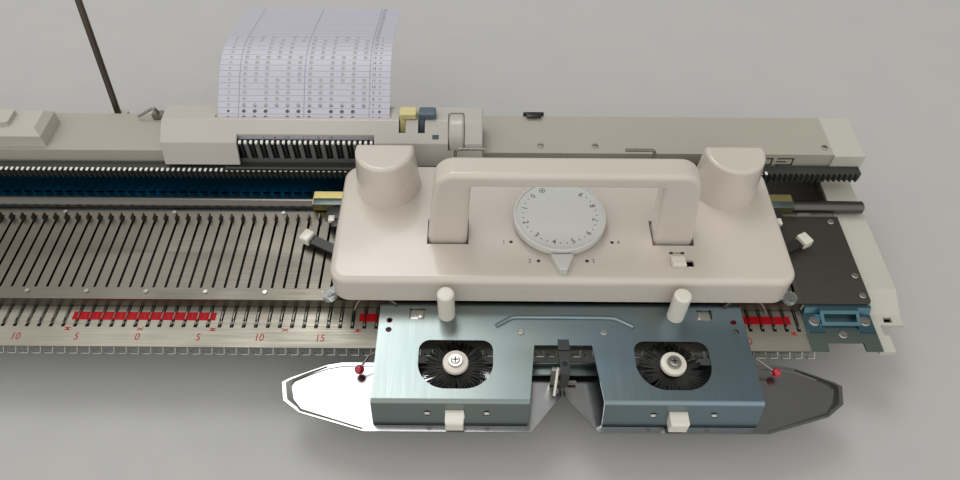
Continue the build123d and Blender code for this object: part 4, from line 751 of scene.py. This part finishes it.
def card_cell(bm, x, y, wide, high, hole):
    """Flat cell of the card, with a round hole if it is punched."""
    size = Matrix.Translation((x, y, 0)) @ Matrix.Diagonal((wide, high, 1, 1))
    verts = bmesh.ops.create_grid(bm, x_segments=2, y_segments=2, size=0.5, matrix=size)["verts"]
    middle = Vector((x, y, 0))
    centre = min(verts, key=lambda vert: (vert.co - middle).length)
    corner = next(vert for vert in verts if vert is not centre)
    bmesh.ops.dissolve_verts(bm, verts=[centre])
    face = corner.link_faces[0]
    if hole:
        bmesh.ops.inset_individual(bm, faces=[face], thickness=0.5)
        for vert in face.verts:
            vert.co = middle + (vert.co - middle).normalized() * hole
        bmesh.ops.delete(bm, geom=[face], context="FACES")


def is_punched(row, column):
    """Says whether the check has a hole at a row and column."""
    block, inside = divmod(row, BLOCK_ROWS)
    if row > LAST_PUNCHED or inside == BLOCK_ROWS - 1:
        return row <= LAST_PUNCHED
    return column % 4 != (3 if block % 2 else 1)


sheet = bmesh.new()
for row in range(CARD_ROWS):
    y = (row + 0.5) * ROW
    for column in range(CARD_COLUMNS):
        x = MARGIN + (column + 0.5) * COLUMN
        card_cell(sheet, x, y, COLUMN, ROW, HOLE if is_punched(row, column) else 0)
    for x in (MARGIN / 2, CARD_WIDTH - MARGIN / 2):
        card_cell(sheet, x, y, MARGIN, ROW, FEED_HOLE if row <= LAST_PUNCHED else 0)
bmesh.ops.remove_doubles(sheet, verts=sheet.verts, dist=0.01)
bmesh.ops.triangulate(sheet, faces=[face for face in sheet.faces if len(face.verts) > 4])
layer = sheet.loops.layers.uv.new("rows")
for face in sheet.faces:
    for corner in face.loops:
        corner[layer].uv = ((corner.vert.co.x - MARGIN) / COLUMN, corner.vert.co.y / ROW)
for vert in sheet.verts:
    vert.co = Vector((CARD_LEFT + vert.co.x, *card_point(vert.co.y, 0.0)))
bmesh.ops.recalc_face_normals(sheet, faces=sheet.faces)
card = finish_piece("punched_card", sheet, "card", "bed", outward=False)
thickness = card.modifiers.new("board", "SOLIDIFY")
thickness.thickness = CARD_THICK * MM
thickness.offset = 0.0
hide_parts("punch_card")

# %% [markdown]
# Every row of the card has its number at the right-hand edge, so that the knitter can count rows. The
# figures are laid flat and then bent onto the same curve.

# %% Row numbers of the card
FIGURE_HIGH = 3.4
FIGURE_X = CARD_WIDTH - MARGIN + 3.2
OVER_CARD = CARD_THICK / 2 + 0.07
figures = bmesh.new()
for row in range(1, CARD_ROWS):
    put_text(figures, str(row), FIGURE_HIGH, Matrix.Translation((FIGURE_X, (row + 0.5) * ROW, 0)))
for vert in figures.verts:
    vert.co = Vector((CARD_LEFT + vert.co.x, *card_point(vert.co.y, OVER_CARD)))
finish_piece("card_figures", figures, "black_ink", "bed", outward=False, smooth=False)

# %% [markdown]
# The tension dial is numbered anticlockwise from 0 to 9 with two dots between numbers. The numbers'
# feet point outwards, so the one in front of the knitter always reads upright.

# %% Dial print
DIAL_Y = -19.0
DIAL_FACE = 41.2
DIAL_START = 136.5
DIAL_STEP = 30.3
NUMBER_RING = 27.0
DOT_RING = 27.6
DIAL_NUMBER = 6.2
START_TURN = 20
START_RADIUS, START_LINE = 2.4, 0.45


def on_dial(ring, angle):
    """Point on the dial's face at a radius and an angle."""
    return at(ring * cos(angle)), DIAL_Y + ring * sin(angle), DIAL_FACE + INK


dial_print = bmesh.new()
for k in range(10):
    angle = radians(DIAL_START + k * DIAL_STEP)
    place = Matrix.Translation(on_dial(NUMBER_RING, angle)) @ Matrix.Rotation(angle + pi / 2, 4, "Z")
    put_text(dial_print, str(k), DIAL_NUMBER, place)
    for third in (1, 2):
        if k < 9:
            put_dot(dial_print, *on_dial(DOT_RING, angle + radians(DIAL_STEP * third / 3)), 0.5)

# a ringed dot marks the place before the zero
ringed = on_dial(NUMBER_RING, radians(DIAL_START - START_TURN))
circle = bmesh.ops.create_circle(dial_print, cap_ends=True, segments=20, radius=START_RADIUS,
                                 matrix=Matrix.Translation(ringed))
disc = circle["verts"][0].link_faces[0]
bmesh.ops.inset_individual(dial_print, faces=[disc], thickness=START_LINE)
bmesh.ops.delete(dial_print, geom=[disc], context="FACES")
put_dot(dial_print, *ringed, 0.9)
finish_piece("dial_print", dial_print, "black_ink", "tension_dial", outward=False, smooth=False)

# %% [markdown]
# Round the cam lever four dots and numbers name its settings, and a small mark stands by the slide
# switch. Only plain working numbers are used.

# %% Print on the cover
COVER_TOP = 33.0
SETTING_DOTS = ((-36.6, -39.2), (-17.0, -56.7), (18.2, -56.5), (38.2, -39.1))
SETTING_NUMBERS = (("1", -42.0, -39.3), ("2", -23.4, -56.8), ("3", 22.8, -56.5), ("4", 42.8, -39.1))
SETTING_HIGH = 4.6
SWITCH_MARK = (((80.5, 88.5), (-48.9, -48.2)), ((79.0, 81.6), (-49.6, -47.6)),
               ((87.4, 90.0), (-49.6, -47.6)))
cover_print = bmesh.new()
for x, y in SETTING_DOTS:
    put_dot(cover_print, at(x), y, COVER_TOP + INK, 1.35)
for number, x, y in SETTING_NUMBERS:
    put_text(cover_print, number, SETTING_HIGH, Matrix.Translation((at(x), y, COVER_TOP + INK)))
for (left, right_end), y in SWITCH_MARK:
    put_block(cover_print, (at(left), at(right_end)), y, (COVER_TOP, COVER_TOP + INK))
finish_piece("cover_print", cover_print, "black_ink", "carriage", outward=False, smooth=False)

# %% [markdown]
# On the front of the rear strip a printed sign shows which way the carriage starts: two frames that
# are open to the left, the second with a bar inside. They are thin strips of ink.

# %% Start sign on the rear strip
SIGN_LAYER = (60.0 - INK, 60.0)
SIGN_LOW, SIGN_HIGH = 15.4, 22.6
SIGN_LINE = 1.3
sign = bmesh.new()
for left, right_end in ((489.0, 497.5), (501.0, 515.0)):
    for low in (SIGN_LOW, SIGN_HIGH):
        put_block(sign, (left, right_end), SIGN_LAYER, (low, low + SIGN_LINE))
    put_block(sign, (right_end - SIGN_LINE, right_end), SIGN_LAYER, (SIGN_LOW, 23.9))
put_block(sign, (501.0, 509.0), SIGN_LAYER, (19.0, 20.3))
finish_piece("start_sign", sign, "black_ink", "bed", outward=False, smooth=False)

# %% [markdown]
# A tinted square of plastic closes the small window beside the selector lever, and a fold of dark
# spring steel stands behind the rear strip.

# %% Tinted window and spring clip
HOUSING_SLOPE = radians(32)
tinted = bmesh.new()
put_block(tinted, (212.6, 217.8), (60.6, 64.4), (42.0, 43.4), bevel=0.3)
bmesh.ops.rotate(tinted, verts=tinted.verts, cent=(215.2, 62.5, 42.6),
                 matrix=Matrix.Rotation(HOUSING_SLOPE, 3, "X"))
finish_piece("tinted_window", tinted, "green_ink", "bed")

clip = bmesh.new()
put_block(clip, (289.0, 307.0), (105.7, 107.4), (18.0, 31.5), bevel=0.6)
put_block(clip, (291.5, 304.5), (101.0, 107.4), (29.8, 31.5), bevel=0.6)
put_rod(clip, (287.0, 106.5, 22.0), (309.0, 106.5, 22.0), 1.6)
finish_piece("spring_clip", clip, "lever_black", "bed")

# %% [markdown]
# The sinker plate's edge is stiffened by a pressed rib: a half-round bead that bends down at both
# ends. A wire through its corner points, half sunk in the sheet, has exactly that form. Under each
# small window of the plate lies a folded tab.

# %% Pressed rib and window tabs
RIB_HEIGHT = 4.7
RIB_RADIUS = 1.7
RIB_LINE = ((-47.5, -94.6), (-41.8, -91.0), (-36.4, -87.4), (-33.0, -86.9), (0.0, -86.9),
            (35.0, -86.9), (39.5, -87.6), (46.0, -91.2), (51.8, -94.6))
put_wire("pressed_rib", [(at(x), y, RIB_HEIGHT) for x, y in RIB_LINE], RIB_RADIUS,
         "galvanised", "carriage")

for side, name in SIDES:
    tab = bmesh.new()
    put_block(tab, (at(side * 98.0), at(side * 112.0)), (-90.4, -77.5), (1.4, 2.6), bevel=0.3)
    put_block(tab, (at(side * 100.5), at(side * 104.5)), (-88.0, -80.5), (2.5, 3.9), bevel=0.4)
    finish_piece("window_tab_" + name, tab, "screw_steel", "carriage")

# %% [markdown]
# A brush wheel is a plastic hub with nylon bristles set all round it. Each tuft is one tapered rod
# with a little random lean, in two layers, so that the rim looks frayed. The seed is fixed, so the
# same tufts come out every time. The hub is a pale disc on a dark core, and a cross-head screw on the
# brush carrier holds it.

# %% Brush wheels
import random

BRUSH_Y = -124.3
FLANGE_RADIUS, CORE_RADIUS, TUFT_ROOT = 12.0, 7.5, 7
TUFT_LAYERS = ((-3.6, 21.0), (-6.0, 22.5))
TUFTS = 64
HUB_RADIUS = 9.0
HUB_TOP = 6.0
HUB_FOOT = 2.8
HUB_ROUND = 1.0
for side, name in SIDES:
    luck = random.Random(7 + side)
    x, y = centre = (at(side * 76.0), BRUSH_Y)
    tufts = bmesh.new()
    put_rod(tufts, (*centre, -8.0), (*centre, -4.2), FLANGE_RADIUS, segments=32)
    put_rod(tufts, (*centre, -4.3), (*centre, HUB_FOOT), CORE_RADIUS, segments=32)
    for z, reach in TUFT_LAYERS:
        for k in range(TUFTS):
            angle = 2 * pi * (k + luck.uniform(-0.3, 0.3)) / TUFTS
            out = reach + luck.uniform(-1.5, 1.6)
            bend = angle + luck.uniform(-0.06, 0.06)
            start = (x + TUFT_ROOT * cos(angle), y + TUFT_ROOT * sin(angle), z)
            end = (x + out * cos(bend), y + out * sin(bend), z - luck.uniform(0.2, 1.8))
            put_rod(tufts, start, end, 0.95, 0.45, segments=5)
    bristles = finish_piece("bristles_" + name, tufts, "bristle", "brush_" + name)
    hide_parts("brush_" + name)

    hub = bmesh.new()
    put_rod(hub, (*centre, HUB_FOOT), (*centre, HUB_TOP), HUB_RADIUS, segments=40)
    upper = [edge for edge in hub.edges if all(vert.co.z > HUB_TOP - 1 for vert in edge.verts)]
    bevel_edges(hub, upper, HUB_ROUND)
    hub_piece = finish_piece("hub_" + name, hub, "knob_white", "brush_" + name)
    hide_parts("brush_" + name)

    head = bmesh.new()
    put_rod(head, (*centre, HUB_TOP - 0.1), (*centre, HUB_TOP + 1.9), 5.2, 4.8, segments=28)
    put_rod(head, (*centre, HUB_TOP + 1.8), (*centre, HUB_TOP + 2.9), 3.4, 2.6, segments=24)
    finish_piece("hub_screw_" + name, head, "screw_steel", "brush_carrier_" + name)
    cross = bmesh.new()
    put_cross(cross, x, y, (HUB_TOP + 2.8, HUB_TOP + 3.0), 2.2, 0.45)
    finish_piece("hub_cross_" + name, cross, "lever_black", "brush_carrier_" + name, smooth=False)

# %% [markdown]
# Four cross-head screws hold the front flange of the sinker plate. Each is a domed disc with a dark
# cross, built upright and then tilted to the slanted flange.

# %% Flange screws
FLANGE_LEAN = atan2(5.5, 23.5)
FLANGE_EDGE = (-154.5, 4.5)
FLANGE_SCREWS = ((-94.6, -7.7), (-54.0, -7.6), (59.5, -8.4), (100.9, -8.0))
for number, (x, z) in enumerate(FLANGE_SCREWS):
    y = FLANGE_EDGE[0] - (FLANGE_EDGE[1] - z) * tan(FLANGE_LEAN)
    tilt = Matrix.Rotation(radians(90) + FLANGE_LEAN, 4, "X")
    driven = Matrix.Rotation(radians(20 * number), 4, "Z")
    lean = Matrix.Translation((at(x), y, z)) @ tilt @ driven
    head = bmesh.new()
    put_rod(head, (0, 0, -0.6), (0, 0, 0.9), 2.9, 2.2, segments=20)
    bmesh.ops.transform(head, matrix=lean, verts=head.verts)
    finish_piece("flange_screw_" + str(number), head, "screw_steel", "carriage")
    cross = bmesh.new()
    put_cross(cross, 0, 0, (0.8, 1.0), 1.7, 0.35)
    bmesh.ops.transform(cross, matrix=lean, verts=cross.verts)
    finish_piece("flange_cross_" + str(number), cross, "lever_black", "carriage", smooth=False)

# %% [markdown]
# Red balls end the two yarn guard wires, and dark links hold the sinker plate up against the cover's
# front corners. The guard wires are bent by hand, so the balls don't stand at the same distance.

# %% Balls and links
BALL_RADIUS = 3.5
BALL_X = (-145.7, 154.0)
LINK_RADIUS = 1.3
LINK_LINE = ((152.0, -79.0, 1.0), (150.0, -75.5, 5.2), (146.0, -72.0, 6.6),
             (134.0, -70.5, 6.8), (124.0, -73.5, 5.8), (121.0, -77.0, 5.2))
for (side, name), ball_x in zip(SIDES, BALL_X):
    ball = bmesh.new()
    bmesh.ops.create_uvsphere(ball, u_segments=24, v_segments=16, radius=BALL_RADIUS,
                              matrix=Matrix.Translation((at(ball_x), -121.0, -13.0)))
    finish_piece("ball_" + name, ball, "red_ball", "carriage")
    put_wire("link_" + name, [(at(side * x), y, z) for x, y, z in LINK_LINE], LINK_RADIUS,
             "mast_steel", "carriage")

# %% [markdown]
# The side levers carry small pale grips. Each grip is a rounded cap that is slipped over the black
# arm's end and moves with the lever. Behind it a dark guard plate with a pale catch stands out of the
# cover's end, over the bar, and a steel plate covers most of the brass guide.

# %% Grips, guards, catches and lids
ARM_RUN = (38.0, 20.0)
ARM_END = (196.0, -15.0, 7.2)
COVER_END = 167.5
for side, name in SIDES:
    grip = bmesh.new()
    put_block(grip, (-5.3, 5.3), (-4.3, 4.3), (-3.8, 3.8), bevel=1.2, segments=3)
    turned = Matrix.Rotation(atan2(ARM_RUN[1], side * ARM_RUN[0]) + pi / 2, 4, "Z")
    end = Matrix.Translation((at(side * ARM_END[0]), *ARM_END[1:]))
    bmesh.ops.transform(grip, verts=grip.verts, matrix=end @ turned)
    finish_piece("grip_" + name, grip, "knob_white", "side_lever_" + name)

    guard = bmesh.new()
    put_block(guard, (at(side * COVER_END), at(side * 184.0)), (0.0, 15.0), (8.4, 9.6), bevel=0.3)
    put_block(guard, (at(side * COVER_END), at(side * 178.0)), (-8.0, 1.0), (8.4, 12.0), bevel=0.3)
    finish_piece("guard_" + name, guard, "lever_black", "carriage")
    catch = bmesh.new()
    put_block(catch, (at(side * 176.0), at(side * 181.0)), (-2.5, 3.5), (9.5, 12.6), bevel=0.5)
    finish_piece("catch_" + name, catch, "knob_white", "carriage")
    lid = bmesh.new()
    put_block(lid, (at(side * COVER_END), at(side * 196.4)), (16.4, 23.8), (9.4, 10.3), bevel=0.2)
    finish_piece("guide_lid_" + name, lid, "zinc", "carriage")

# %% [markdown]
# The outer rim of each bumper plate is rolled down and mirrors darker surroundings than the plate; that
# darker reflection is painted, with the darker ground steel finish on the band.
# Two lines run round it, the plate's outline and one inside, wide apart at the tip and close along both
# sides. Each is laid at two heights, the four rows are bridged to a band, and its ends are filled.

# %% Rolled rims of the bumpers
RIM_OUTER = ((139.0, -165.0), (185.3, -151.7), (198.0, -142.5),
             (201.5, -128.2), (196.3, -124.9), (171.0, -114.2))
RIM_INNER = ((139.6, -162.8), (184.2, -149.0), (191.0, -141.3),
             (194.2, -130.6), (192.6, -127.2), (170.2, -116.0))
RIM_ROWS = ((RIM_OUTER, -20.2), (RIM_OUTER, -19.2), (RIM_INNER, -18.7), (RIM_INNER, -20.2))
for side, name in SIDES:
    rim = bmesh.new()
    rows = []
    for line, z in RIM_ROWS:
        points = [rim.verts.new((at(side * x), y, z)) for x, y in line]
        rows.append([rim.edges.new(pair) for pair in zip(points, points[1:])])
    for row, following in zip(rows, rows[1:] + rows[:1]):
        bmesh.ops.bridge_loops(rim, edges=row + following)
    bmesh.ops.holes_fill(rim, edges=rim.edges, sides=4)
    # the darker steel finish is a painted reflection
    finish_piece("rim_" + name, rim, "rail_steel", "carriage")

# %% [markdown]
# Inside the mouth of the sinker plate a folded bar runs across, and a pale wire hangs on the small
# gate. They fill the dark middle of the machine with real parts.

# %% Mouth of the sinker plate
MOUTH = (at(-25.5), at(25.5))
GATE_LINE = ((-4.5, -127.5, 3.0), (-5.0, -130.0, 3.4), (-6.5, -138.0, 0.0), (-7.5, -144.0, -6.0))
bar = bmesh.new()
put_block(bar, MOUTH, (-124.0, -116.0), (-15.0, -13.6), bevel=0.4)
put_block(bar, MOUTH, (-117.4, -116.0), (-15.0, -9.0), bevel=0.4)
finish_piece("mouth_bar", bar, "zinc", "carriage")
put_wire("gate_wire", [(at(x), y, z) for x, y, z in GATE_LINE], 1.0, "knob_white", "feeder_gate")

# %% [markdown]
# The floor is a plain pale table top, six metres wide: the camera sees no edge of it.

# %% Floor
FLOOR_HALF_M = 3.0
floor_mesh = bmesh.new()
bmesh.ops.create_grid(floor_mesh, x_segments=2, y_segments=2, size=FLOOR_HALF_M)
table = bpy.data.meshes.new("table_top")
floor_mesh.to_mesh(table)
floor_mesh.free()
finishes["table"] = moulded("laminate_pale_grey", "#B5B5B3", "#ADADAC", 0.55, 2.0, 0.006)
table.materials.append(finishes["table"])
floor = bpy.data.objects.new("table_top", table)
bpy.context.scene.collection.objects.link(floor)
print("floor", 2 * FLOOR_HALF_M, "m wide")

# %% [markdown]
# The room's light is soft and comes from above, so a sky does most of the lighting. It is brighter
# overhead and in front than behind, which gives polished steel something to mirror, and a soft dark
# patch, high up on the right and behind, stands for the dark part of a room.

# %% Sky
SKY_SLOPE = (-0.15, -0.42, 0.30)
SKY_LEVEL, SKY_LEAST = 0.66, 0.18
DARK_WAY = Vector((0.42, 0.44, 0.79)).normalized()
DARK_EDGE, DARK_MIDDLE, DARK_SHARE = 0.86, 0.97, 0.35
scene = bpy.context.scene
scene.view_settings.view_transform = "Standard"
world = bpy.data.worlds.new("studio")
scene.world = world
world.use_nodes = True
sky = world.node_tree
direction = add(sky, "TexCoord").outputs["Generated"]
slope = add(sky, "VectorMath", {0: direction, 1: SKY_SLOPE}, operation="DOT_PRODUCT")
glow = add(sky, "Math", {0: slope.outputs["Value"], 1: SKY_LEVEL}, operation="ADD")
floor_glow = add(sky, "Math", {0: glow.outputs[0], 1: SKY_LEAST}, operation="MAXIMUM")
facing = add(sky, "VectorMath", {0: direction, 1: DARK_WAY}, operation="DOT_PRODUCT")
shade = add(sky, "MapRange", {"Value": facing.outputs["Value"], "From Min": DARK_EDGE,
                              "From Max": DARK_MIDDLE, "To Min": 1.0, "To Max": DARK_SHARE},
            interpolation_type="SMOOTHSTEP")
light = add(sky, "Math", {0: floor_glow.outputs[0], 1: shade.outputs["Result"]},
            operation="MULTIPLY")
background = sky.nodes["Background"]
background.inputs["Color"].default_value = linear("#FFFDF8")
sky.links.new(light.outputs[0], background.inputs["Strength"])
print("sky ready")

# %% [markdown]
# One square lamp behind and to the left gives the glossy cover its highlights and lays the shadows
# forward and to the right. It is large, since a large lamp's shadows have soft edges.

# %% Lamp
LAMP_AT = Vector((-0.25, 1.05, 2.25))
LAMP_AIM = Vector((0.2, 0.0, 0.0))
LAMP_SIDE_M = 0.9
LAMP_WATTS = 14.0
lamp = bpy.data.lights.new("key", "AREA")
lamp.shape = "RECTANGLE"
lamp.size = lamp.size_y = LAMP_SIDE_M
lamp.energy = LAMP_WATTS
hung = bpy.data.objects.new("key", lamp)
hung.location = LAMP_AT
hung.rotation_euler = (LAMP_AIM - LAMP_AT).to_track_quat("-Z", "Y").to_euler()
scene.collection.objects.link(hung)
print("lit")
